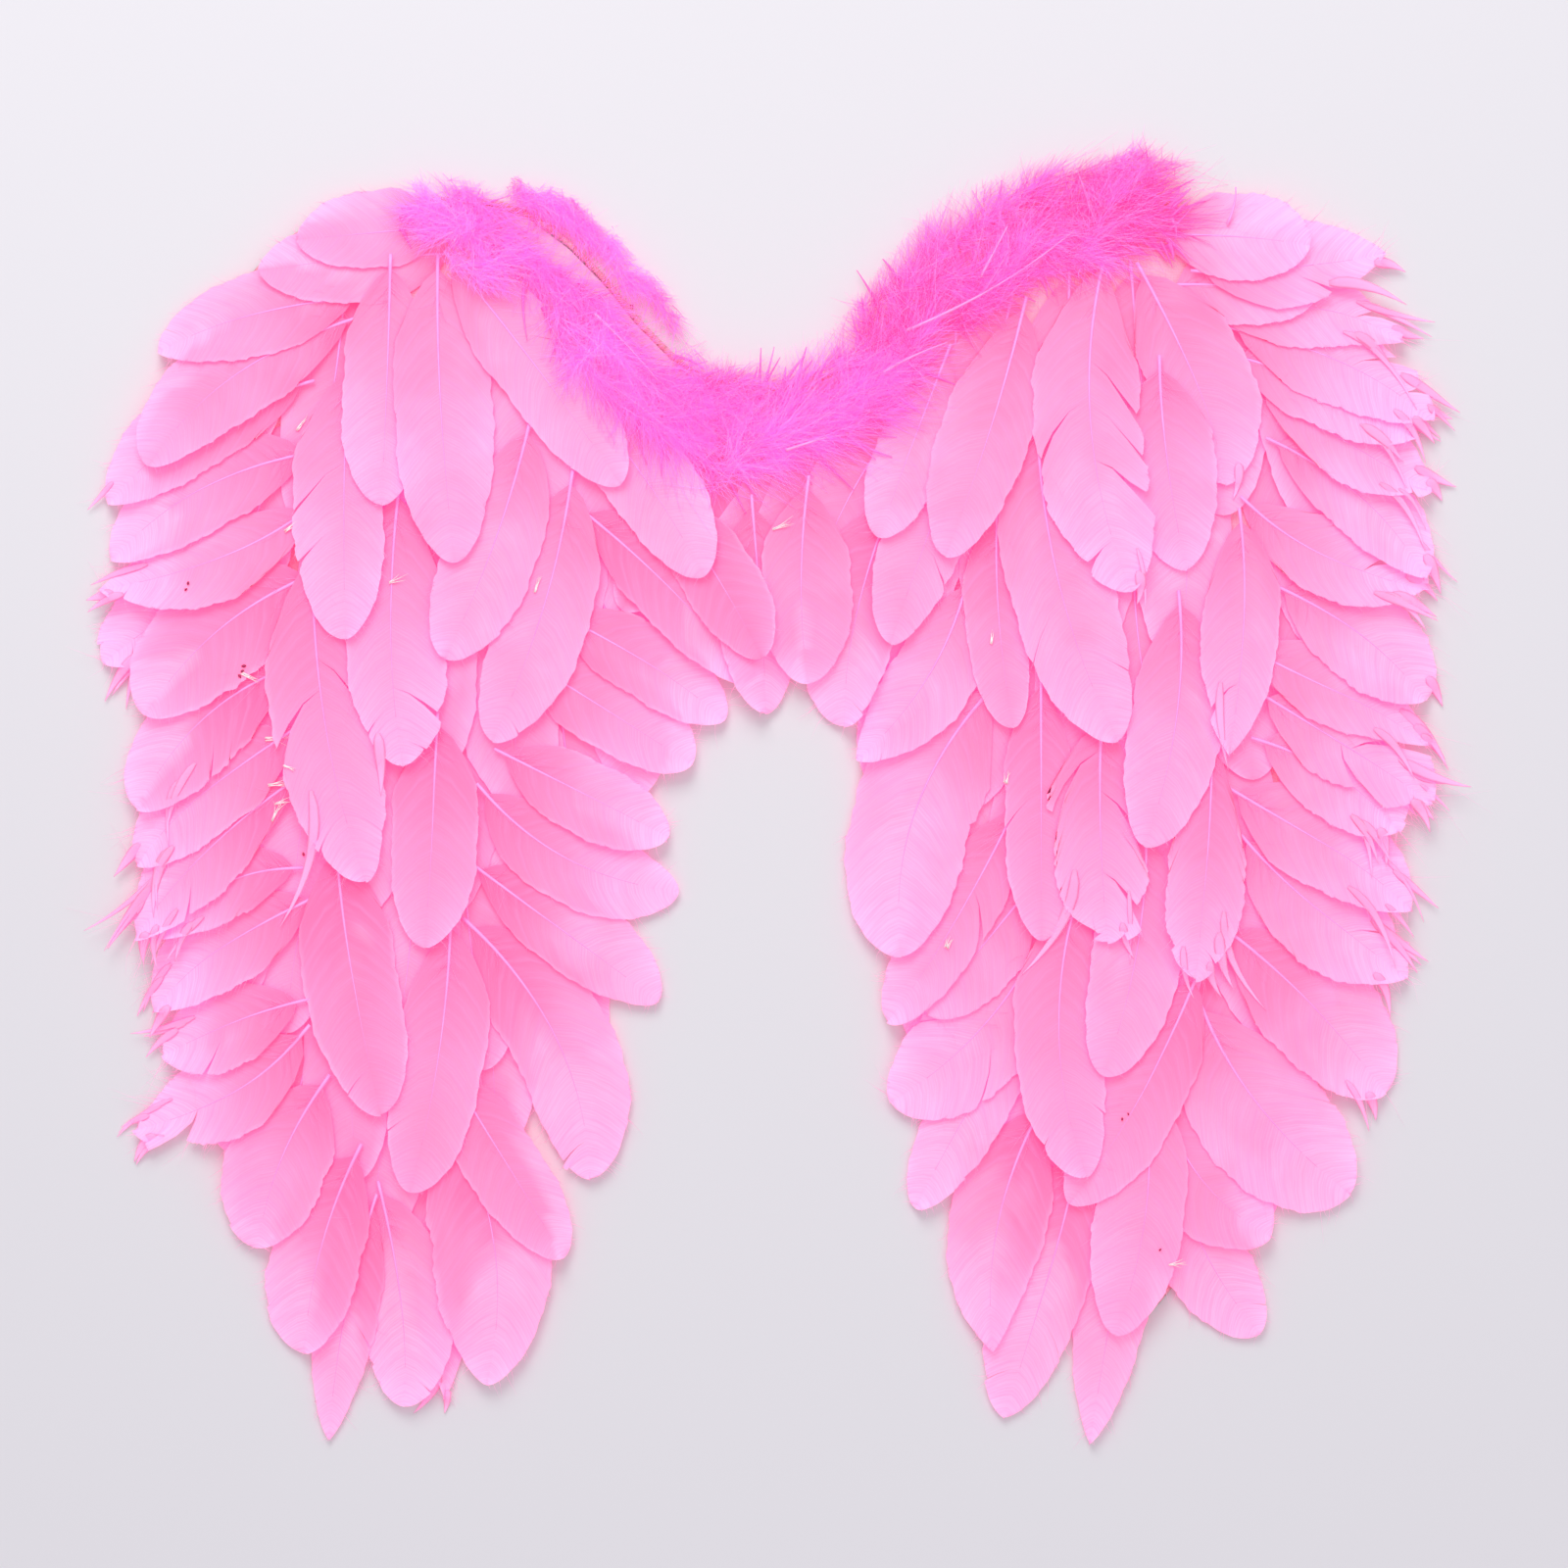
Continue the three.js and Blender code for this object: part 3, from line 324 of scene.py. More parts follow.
# Slits between barbs: the table's node, the feather's number in it, the side of the rachis (1 is
# left of the way to the tip), where the slit starts along the rachis, its width in millimetres,
# and how far out it starts and ends, as shares of the half vane
SLITS = table(("node", "feather", "side", "at", "width", "near", "far"), [
    ("cover_feather_right", 16, 1, 0.28, 3.6, 0.25, 1.00),
    ("cover_feather_right", 16, 1, 0.42, 2.2, 0.45, 1.00),
    ("cover_feather_right", 16, 1, 0.58, 4.2, 0.35, 1.00),
    ("cover_feather_right", 13, 1, 0.62, 2.0, 0.40, 0.90),
    ("cover_feather_left", 8, -1, 0.35, 3.2, 0.30, 0.95),
    ("cover_feather_left", 8, -1, 0.56, 3.0, 0.30, 1.00),
    ("cover_feather_left", 4, 1, 0.30, 2.4, 0.30, 0.95),
    ("inner_fan_right", 4, 1, 0.35, 3.0, 0.15, 0.90),
    ("inner_fan_right", 5, 1, 0.22, 2.6, 0.30, 1.00),
    ("inner_fan_right", 2, -1, 0.45, 2.6, 0.30, 1.00),
    ("outer_fan_right", 12, 1, 0.30, 3.4, 0.25, 0.90),
    ("outer_fan_right", 16, -1, 0.45, 3.0, 0.30, 0.90),
    ("outer_fan_right", 14, 1, 0.72, 2.4, 0.25, 0.80),
    ("outer_fan_left", 9, 1, 0.40, 2.4, 0.35, 1.00),
    ("outer_fan_left", 11, -1, 0.30, 2.8, 0.30, 0.95),
])


def slits_of(node, number):
    """The slits of one feather, as side, place, width and the shares where they start and end."""
    return [(slit["side"], slit["at"], slit["width"], slit["near"], slit["far"])
            for slit in SLITS if slit["node"] == node and slit["feather"] == number]


# Barbs that took no dye, and crumbs of dried dye: where they lie, their length in millimetres, and
# the way the barbs point, in degrees
UNDYED = table(("x", "y", "length", "turn"), [
    (-0.780, 0.608, 9, -25),
    (-0.745, 0.557, 13, 0),
    (-0.715, 0.536, 7, -20),
    (-0.740, 0.520, 12, 5),
    (-0.730, 0.505, 10, 15),
    (-0.735, 0.492, 16, 70),
    (-0.715, 0.720, 9, 40),
    (-0.700, 0.800, 8, 60),
    (-0.560, 0.680, 7, 20),
    (-0.345, 0.672, 8, 70),
    (0.013, 0.722, 10, 30),
    (0.600, 0.143, 9, 10),
    (0.335, 0.632, 7, 80),
    (0.357, 0.522, 6, 75),
    (0.270, 0.392, 6, 70),
])
CRUMBS = table(("x", "y", "length"), [
    (-0.777, 0.614, 2.2),
    (-0.779, 0.610, 1.8),
    (-0.783, 0.606, 2.0),
    (-0.859, 0.679, 1.8),
    (-0.862, 0.674, 1.6),
    (-0.201, 0.899, 2.2),
    (-0.295, 0.966, 1.6),
    (-0.690, 0.466, 1.8),
    (0.530, 0.258, 1.6),
    (0.539, 0.262, 1.3),
    (0.587, 0.155, 1.5),
])

# Marabou trim, from the left wing's end to the right wing's: its middle line, its width there,
# as a share of TRIM_WIDTH, and how deep its dye took
TRIM = table(("x", "y", "width", "deep"), [
    (-0.550, 0.966, 0.30, -0.7),
    (-0.470, 0.962, 0.55, -0.6),
    (-0.400, 0.951, 0.80, -0.45),
    (-0.330, 0.930, 0.95, -0.35),
    (-0.260, 0.892, 1.00, -0.3),
    (-0.200, 0.855, 1.00, -0.25),
    (-0.140, 0.818, 1.00, -0.2),
    (-0.070, 0.795, 1.00, -0.15),
    (0.000, 0.798, 1.05, -0.1),
    (0.070, 0.810, 1.05, 0.0),
    (0.140, 0.832, 0.95, 0.1),
    (0.200, 0.862, 0.90, 0.2),
    (0.260, 0.902, 0.95, 0.3),
    (0.330, 0.936, 1.00, 0.35),
    (0.410, 0.952, 1.00, 0.35),
    (0.490, 0.962, 0.90, 0.3),
    (0.560, 0.964, 0.85, 0.3),
    (0.605, 0.962, 0.70, 0.2),
])

# Marabou shafts that lie bare on the down: the length of trim they belong to, and both ends
TRIM_RACHIDES = table(("name", "x0", "y0", "x1", "y1", "bow"), [
    ("marabou_left", -0.255, 0.891, -0.162, 0.839, 0.02),
    ("marabou_centre", 0.030, 0.783, 0.090, 0.793, 0.00),
    ("marabou_right", 0.210, 0.878, 0.460, 0.957, -0.04),
    ("marabou_right", 0.175, 0.845, 0.270, 0.868, 0.03),
    ("marabou_right", 0.320, 0.920, 0.360, 0.960, 0.00),
])

# Lengths of trim: the rows of TRIM they run between
TRIM_LENGTHS = table(("name", "start", "stop"), [
    ("marabou_left", 0, 5),
    ("marabou_centre", 5, 11),
    ("marabou_right", 11, 17),
])


# Colours and materials. The colour Mix node's sockets are 0 for its factor, 6 and 7 for the two
# colours and 2 for the result.

def linear(hex_colour):
    """An sRGB hex colour as linear RGBA."""
    channels = [int(hex_colour[i:i + 2], 16) / 255 for i in (1, 3, 5)]
    return [c / 12.92 if c <= 0.04045 else ((c + 0.055) / 1.055) ** 2.4 for c in channels] + [1.0]


def add_node(tree, kind, settings=None, inputs=None):
    """Adds a node with its settings. An input is a value or the socket that it is linked to."""
    made = tree.nodes.new(kind)
    for name, value in (settings or {}).items():
        setattr(made, name, value)
    for name, value in (inputs or {}).items():
        if isinstance(value, bpy.types.NodeSocket):
            tree.links.new(value, made.inputs[name])
        else:
            made.inputs[name].default_value = value
    return made


def new_material(name):
    """An empty node material with its output."""
    material = bpy.data.materials.new(name)
    material.use_nodes = True
    material.node_tree.nodes.clear()
    return material, material.node_tree


def dyed_goose_vane():
    """Dyed goose feather: barbs zipped into a thin satin sheet that lets light through, so single
    layers over the pale floor look lighter than feathers that lie on others; the tone also paints
    them lighter, as painted light from the floor. The tone paints the vane's outer edge paler, as a
    painted highlight, and the middle of the vane and its root half deeper pink, as painted shade.
    Light scattered many times between the dyed layers comes out a strong pink, which keeps the
    shadows pink: that light is the emission, painted light that the vane gives off itself. The
    barbs' lines are drawn 0.8 mm apart so that they show."""
    material, tree = new_material("dyed_goose_vane")
    tone = add_node(tree, "ShaderNodeVertexColor", {"layer_name": "tone"})
    pale, lilac, deep = add_node(
        tree, "ShaderNodeSeparateColor", inputs={"Color": tone.outputs["Color"]}).outputs
    uv = add_node(tree, "ShaderNodeUVMap", {"uv_map": "barbs"}).outputs["UV"]
    barb_pitch_mm = 0.8
    streak_pitch_mm = 4.0
    fine = add_node(tree, "ShaderNodeMapping", inputs={
        "Vector": uv, "Scale": (1 / barb_pitch_mm, 0.05, 1.0)}).outputs["Vector"]
    barbs = add_node(tree, "ShaderNodeTexNoise", {"noise_dimensions": "2D"}, {
        "Vector": fine, "Scale": 1.0, "Detail": 2.0, "Roughness": 0.6}).outputs["Fac"]
    broad = add_node(tree, "ShaderNodeMapping", inputs={
        "Vector": uv, "Scale": (1 / streak_pitch_mm, 0.04, 1.0)}).outputs["Vector"]
    streaks = add_node(tree, "ShaderNodeTexNoise", {"noise_dimensions": "2D"}, {
        "Vector": broad, "Scale": 1.0, "Detail": 3.0, "Roughness": 0.65}).outputs["Fac"]
    spot = add_node(tree, "ShaderNodeTexCoord").outputs["Object"]
    patches = add_node(tree, "ShaderNodeTexNoise", inputs={
        "Vector": spot, "Scale": 34.0, "Detail": 2.0}).outputs["Fac"]
    blotch = add_node(tree, "ShaderNodeMapRange", inputs={
        "Value": patches, "From Min": 0.4, "From Max": 0.7, "To Min": 0.0, "To Max": 0.5})
    line = add_node(tree, "ShaderNodeMapRange", inputs={
        "Value": barbs, "From Min": 0.35, "From Max": 0.8, "To Min": 0.0, "To Max": 0.26})
    streak = add_node(tree, "ShaderNodeMapRange", inputs={
        "Value": streaks, "From Min": 0.45, "From Max": 0.75, "To Min": 0.0, "To Max": 0.38})
    # The tone's channels carry painted light and shade: pale and lilac are raised where the feather
    # lies single over the floor and at its outer edge, pale is lowered in the vane's middle, and deep
    # is raised on the root half.
    colour = add_node(tree, "ShaderNodeMix", {"data_type": "RGBA"}, {
        0: pale, 6: linear("#FF8AC2"), 7: linear("#FFD8F0")}).outputs[2]
    colour = add_node(tree, "ShaderNodeMix", {"data_type": "RGBA"}, {
        0: blotch.outputs["Result"], 6: colour, 7: linear("#FFA2CC")}).outputs[2]
    colour = add_node(tree, "ShaderNodeMix", {"data_type": "RGBA"}, {
        0: lilac, 6: colour, 7: linear("#FFE6FC")}).outputs[2]
    colour = add_node(tree, "ShaderNodeMix", {"data_type": "RGBA"}, {
        0: deep, 6: colour, 7: linear("#FF66AC")}).outputs[2]
    colour = add_node(tree, "ShaderNodeMix", {"data_type": "RGBA"}, {
        0: streak.outputs["Result"], 6: colour, 7: linear("#FFC6EC")}).outputs[2]
    colour = add_node(tree, "ShaderNodeMix", {"data_type": "RGBA"}, {
        0: line.outputs["Result"], 6: colour, 7: linear("#FF92CC")}).outputs[2]
    bump = add_node(tree, "ShaderNodeBump", inputs={
        "Height": barbs, "Strength": 0.3, "Distance": 0.0003}).outputs["Normal"]
    # The emission is painted light: light scattered between the dyed layers, given off by the vane
    # itself.
    surface = add_node(tree, "ShaderNodeBsdfPrincipled", inputs={
        "Base Color": colour, "Roughness": 0.55, "IOR": 1.5, "Specular IOR Level": 0.3,
        "Emission Color": linear("#FF549C"), "Emission Strength": 0.45,
        "Normal": bump}).outputs["BSDF"]
    through = add_node(tree, "ShaderNodeBsdfTranslucent", inputs={
        "Color": colour, "Normal": bump}).outputs["BSDF"]
    blend = add_node(tree, "ShaderNodeMixShader", inputs={
        0: 0.5, 1: surface, 2: through}).outputs["Shader"]
    add_node(tree, "ShaderNodeOutputMaterial", inputs={"Surface": blend})
    return material


def dyed_rachis():
    """Dyed feather shaft: smooth keratin that takes less dye, so it is a pale glossy line."""
    material, tree = new_material("dyed_rachis")
    spot = add_node(tree, "ShaderNodeTexCoord").outputs["Object"]
    streaks = add_node(tree, "ShaderNodeTexNoise", inputs={
        "Vector": spot, "Scale": 120.0, "Detail": 2.0}).outputs["Fac"]
    colour = add_node(tree, "ShaderNodeMix", {"data_type": "RGBA"}, {
        0: streaks, 6: linear("#FF8CCC"), 7: linear("#FFA6DC")}).outputs[2]
    # The emission is painted light: light scattered between the dyed layers, given off by the shaft
    # itself.
    surface = add_node(tree, "ShaderNodeBsdfPrincipled", inputs={
        "Base Color": colour, "Roughness": 0.45, "IOR": 1.54, "Specular IOR Level": 0.2,
        "Emission Color": linear("#FF6CB0"), "Emission Strength": 0.3}).outputs["BSDF"]
    add_node(tree, "ShaderNodeOutputMaterial", inputs={"Surface": surface})
    return material


def dyed_marabou():
    """Dyed turkey marabou: loose silky down, deep magenta, with barbs low in the mass painted deeper
    as painted shade and paler at the wisps as painted light, where light passes between and
    through the barbs. The emission is painted light: light scattered among them."""
    material, tree = new_material("dyed_marabou")
    tone = add_node(tree, "ShaderNodeVertexColor", {"layer_name": "tone"})
    tip, lilac, deep = add_node(
        tree, "ShaderNodeSeparateColor", inputs={"Color": tone.outputs["Color"]}).outputs
    colour = add_node(tree, "ShaderNodeMix", {"data_type": "RGBA"}, {
        0: tip, 6: linear("#FFB6EE"), 7: linear("#FFE8FE")}).outputs[2]
    colour = add_node(tree, "ShaderNodeMix", {"data_type": "RGBA"}, {
        0: lilac, 6: colour, 7: linear("#FFB4FF")}).outputs[2]
    # The deep channel also carries painted shade on barbs that start low in the mass, and the tip
    # channel painted light at the barb ends.
    colour = add_node(tree, "ShaderNodeMix", {"data_type": "RGBA"}, {
        0: deep, 6: colour, 7: linear("#F854C4")}).outputs[2]
    surface = add_node(tree, "ShaderNodeBsdfPrincipled", inputs={
        "Base Color": colour, "Roughness": 0.75, "IOR": 1.5, "Specular IOR Level": 0.2,
        "Emission Color": linear("#FF66B2"), "Emission Strength": 0.62}).outputs["BSDF"]
    through = add_node(tree, "ShaderNodeBsdfTranslucent", inputs={"Color": colour}).outputs["BSDF"]
    blend = add_node(tree, "ShaderNodeMixShader", inputs={
        0: 0.55, 1: surface, 2: through}).outputs["Shader"]
    add_node(tree, "ShaderNodeOutputMaterial", inputs={"Surface": blend})
    return material


def undyed_barbs():
    """Barbs that took no dye: matt near white, with a breath of pink where dye has run in."""
    material, tree = new_material("undyed_barbs")
    spot = add_node(tree, "ShaderNodeTexCoord").outputs["Object"]
    run_in = add_node(tree, "ShaderNodeTexNoise", inputs={
        "Vector": spot, "Scale": 300.0, "Detail": 2.0}).outputs["Fac"]
    colour = add_node(tree, "ShaderNodeMix", {"data_type": "RGBA"}, {
        0: run_in, 6: linear("#FFFAF8"), 7: linear("#FFDCEA")}).outputs[2]
    surface = add_node(tree, "ShaderNodeBsdfPrincipled", inputs={
        "Base Color": colour, "Roughness": 0.7, "IOR": 1.5}).outputs["BSDF"]
    add_node(tree, "ShaderNodeOutputMaterial", inputs={"Surface": surface})
    return material


def dried_dye():
    """Crumbs of dried dye: dull wine red, darker where they are thick."""
    material, tree = new_material("dried_dye")
    spot = add_node(tree, "ShaderNodeTexCoord").outputs["Object"]
    thick = add_node(tree, "ShaderNodeTexNoise", inputs={
        "Vector": spot, "Scale": 900.0, "Detail": 2.0}).outputs["Fac"]
    colour = add_node(tree, "ShaderNodeMix", {"data_type": "RGBA"}, {
        0: thick, 6: linear("#C23A72"), 7: linear("#7E1840")}).outputs[2]
    surface = add_node(tree, "ShaderNodeBsdfPrincipled", inputs={
        "Base Color": colour, "Roughness": 0.8, "IOR": 1.5}).outputs["BSDF"]
    add_node(tree, "ShaderNodeOutputMaterial", inputs={"Surface": surface})
    return material


def wound_tape():
    """Crepe paper tape wound round steel wire: dull, with an edge at every turn, a band of painted
    shade at the foot of each edge, and a stain of the wire's brown in the pink dye."""
    material, tree = new_material("wound_tape")
    tone = add_node(tree, "ShaderNodeVertexColor", {"layer_name": "tone"})
    spot = add_node(tree, "ShaderNodeTexCoord").outputs["Object"]
    crepe = add_node(tree, "ShaderNodeTexNoise", inputs={
        "Vector": spot, "Scale": 1400.0, "Detail": 2.0}).outputs["Fac"]
    stain = add_node(tree, "ShaderNodeTexNoise", inputs={
        "Vector": spot, "Scale": 60.0, "Detail": 3.0}).outputs["Fac"]
    colour = add_node(tree, "ShaderNodeMix", {"data_type": "RGBA"}, {
        0: stain, 6: linear("#CF8C96"), 7: linear("#F0B4C4")}).outputs[2]
    # Painted shade: the tone darkens a band at the foot of each turn's raised edge.
    colour = add_node(tree, "ShaderNodeMix", {"data_type": "RGBA"}, {
        0: tone.outputs["Color"], 6: colour, 7: linear("#AE6C78")}).outputs[2]
    bump = add_node(tree, "ShaderNodeBump", inputs={
        "Height": crepe, "Strength": 0.5, "Distance": 0.0002}).outputs["Normal"]
    surface = add_node(tree, "ShaderNodeBsdfPrincipled", inputs={
        "Base Color": colour, "Roughness": 0.85, "IOR": 1.5, "Normal": bump}).outputs["BSDF"]
    add_node(tree, "ShaderNodeOutputMaterial", inputs={"Surface": surface})
    return material


def spunbond_panel():
    """Thin spunbond polypropylene: matt pale fabric, heat bonded in dots 1.2 mm apart."""
    material, tree = new_material("spunbond_panel")
    spot = add_node(tree, "ShaderNodeTexCoord").outputs["Object"]
    dot_pitch_m = 0.0012
    dots = add_node(tree, "ShaderNodeTexVoronoi", inputs={
        "Vector": spot, "Scale": 1 / dot_pitch_m, "Randomness": 0.15}).outputs["Distance"]
    fibres = add_node(tree, "ShaderNodeTexNoise", inputs={
        "Vector": spot, "Scale": 900.0, "Detail": 4.0}).outputs["Fac"]
    colour = add_node(tree, "ShaderNodeMix", {"data_type": "RGBA"}, {
        0: fibres, 6: linear("#FFE3F2"), 7: linear("#FFC9E6")}).outputs[2]
    bump = add_node(tree, "ShaderNodeBump", inputs={
        "Height": dots, "Strength": 0.6, "Distance": 0.0003}).outputs["Normal"]
    surface = add_node(tree, "ShaderNodeBsdfPrincipled", inputs={
        "Base Color": colour, "Roughness": 0.9, "IOR": 1.49, "Normal": bump}).outputs["BSDF"]
    through = add_node(tree, "ShaderNodeBsdfTranslucent", inputs={"Color": colour}).outputs["BSDF"]
    blend = add_node(tree, "ShaderNodeMixShader", inputs={
        0: 0.3, 1: surface, 2: through}).outputs["Shader"]
    add_node(tree, "ShaderNodeOutputMaterial", inputs={"Surface": blend})
    return material


def knitted_elastic():
    """Knitted elastic tape: ribs along its length 1 mm apart, slightly shiny yarn."""
    material, tree = new_material("knitted_elastic")
    spot = add_node(tree, "ShaderNodeTexCoord").outputs["Object"]
    stitch_pitch_m = 0.001
    stitches = add_node(tree, "ShaderNodeTexVoronoi", inputs={
        "Vector": spot, "Scale": 1 / stitch_pitch_m, "Randomness": 0.3}).outputs["Distance"]
    colour = add_node(tree, "ShaderNodeMix", {"data_type": "RGBA"}, {
        0: stitches, 6: linear("#F8BBDD"), 7: linear("#E58FC0")}).outputs[2]
    bump = add_node(tree, "ShaderNodeBump", inputs={
        "Height": stitches, "Strength": 0.7, "Distance": 0.0004}).outputs["Normal"]
    surface = add_node(tree, "ShaderNodeBsdfPrincipled", inputs={
        "Base Color": colour, "Roughness": 0.7, "IOR": 1.5, "Normal": bump}).outputs["BSDF"]
    add_node(tree, "ShaderNodeOutputMaterial", inputs={"Surface": surface})
    return material


def studio_paper():
    """Matt pale backdrop paper under the wings."""
    material, tree = new_material("studio_paper")
    surface = add_node(tree, "ShaderNodeBsdfPrincipled", inputs={
        "Base Color": linear("#D9D7DA"), "Roughness": 0.9}).outputs["BSDF"]
    add_node(tree, "ShaderNodeOutputMaterial", inputs={"Surface": surface})
    return material


# Meshes

class MeshParts:
    """Collects patches of points and faces, in millimetres, for one object."""

    def __init__(self):
        self.points = []
        self.uvs = []
        self.tones = []
        self.quads = []
        self.quad_slots = []
        self.triangles = []
        self.triangle_slots = []
        self.count = 0

    def add(self, points, quads, triangles=None, uvs=None, tones=None, slot=0):
        size = len(points)
        self.points.append(points)
        self.uvs.append(np.zeros((size, 2)) if uvs is None else uvs)
        self.tones.append(np.zeros((size, 3)) if tones is None else tones)
        self.quads.append(np.asarray(quads).reshape(-1, 4) + self.count)
        self.quad_slots.append(np.full(len(self.quads[-1]), slot))
        if triangles is not None:
            self.triangles.append(np.asarray(triangles).reshape(-1, 3) + self.count)
            self.triangle_slots.append(np.full(len(self.triangles[-1]), slot))
        self.count += size

    def make(self, name, materials):
        points = np.concatenate(self.points) * MM
        quads = np.concatenate(self.quads).ravel()
        triangles = np.concatenate(self.triangles).ravel() if self.triangles else np.zeros(0, int)
        corners = np.concatenate([quads, triangles])
        starts = np.concatenate([
            np.arange(0, len(quads), 4), len(quads) + np.arange(0, len(triangles), 3)])
        slots = np.concatenate(self.quad_slots + self.triangle_slots)
        mesh = bpy.data.meshes.new(name)
        mesh.vertices.add(len(points))
        mesh.vertices.foreach_set("co", points.ravel())
        mesh.loops.add(len(corners))
        mesh.loops.foreach_set("vertex_index", corners)
        mesh.polygons.add(len(starts))
        mesh.polygons.foreach_set("loop_start", starts)
        mesh.polygons.foreach_set("material_index", slots)
        mesh.polygons.foreach_set("use_smooth", np.ones(len(starts), bool))
        mesh.update(calc_edges=True)
        layer = mesh.uv_layers.new(name="barbs")
        layer.data.foreach_set("uv", np.concatenate(self.uvs)[corners].ravel())
        tone = mesh.color_attributes.new("tone", "FLOAT_COLOR", "POINT")
        tones = np.concatenate(self.tones)
        tone.data.foreach_set("color", np.hstack([tones, np.ones((len(tones), 1))]).ravel())
        for material in materials:
            mesh.materials.append(material)
        made = bpy.data.objects.new(name, mesh)
        bpy.context.collection.objects.link(made)
        return made


def dress(piece, slot, *nodes):
    """Says what a new piece rides on and the nodes that it stands for. slot is not used."""
    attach(piece, "root")
    if nodes:
        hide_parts(*nodes)


def place(x, y):
    """A point of the tables in the frame, in millimetres."""
    return np.array([x * HALF_SPAN, y * HEIGHT]) + TABLE_ORIGIN


# Heights of what has been laid so far

class Ground:
    """A square grid of heights in millimetres."""

    def __init__(self):
        self.low = place(-1.0, 0.0) - GRID_MARGIN
        columns = int((2 * HALF_SPAN + 2 * GRID_MARGIN) / CELL)
        rows = int((HEIGHT + 2 * GRID_MARGIN) / CELL)
        self.heights = np.full((columns, rows), FLOOR_CLEARANCE)

    def cells(self, points):
        cells = np.floor((points - self.low) / CELL).astype(int)
        return (np.clip(cells[..., 0], 0, self.heights.shape[0] - 1),
                np.clip(cells[..., 1], 0, self.heights.shape[1] - 1))

    def height(self, points):
        return self.heights[self.cells(points)]

    def highest_near(self, points):
        """The highest ground at and a cell and a half around each point."""
        reach = 1.5 * CELL
        shifts = [(dx, dy) for dx in (-reach, 0, reach) for dy in (-reach, 0, reach)]
        return np.max([self.height(points + np.array(shift)) for shift in shifts], axis=0)

    def raise_to(self, points, tops):
        np.maximum.at(self.heights, self.cells(points), tops)


def blurred(grid, times):
    """Grid averaged with its neighbours, edges kept."""
    for _ in range(times):
        padded = np.pad(grid, 1, mode="edge")
        grid = (2 * padded[1:-1, 1:-1] + padded[:-2, 1:-1] + padded[2:, 1:-1]
                + 0.5 * (padded[1:-1, :-2] + padded[1:-1, 2:])) / 5
    return grid


def grid_value(grid, u, v):
    """Bilinear value of a grid at shares 0 to 1 of its rows and columns."""
    rows, columns = grid.shape[0] - 1, grid.shape[1] - 1
    i = np.clip(u * rows, 0, rows - 1e-6)
    j = np.clip(v * columns, 0, columns - 1e-6)
    i0, j0 = i.astype(int), j.astype(int)
    di, dj = i - i0, j - j0
    near = grid[i0, j0] * (1 - dj) + grid[i0, j0 + 1] * dj
    far = grid[i0 + 1, j0] * (1 - dj) + grid[i0 + 1, j0 + 1] * dj
    return near * (1 - di) + far * di


# Feathers

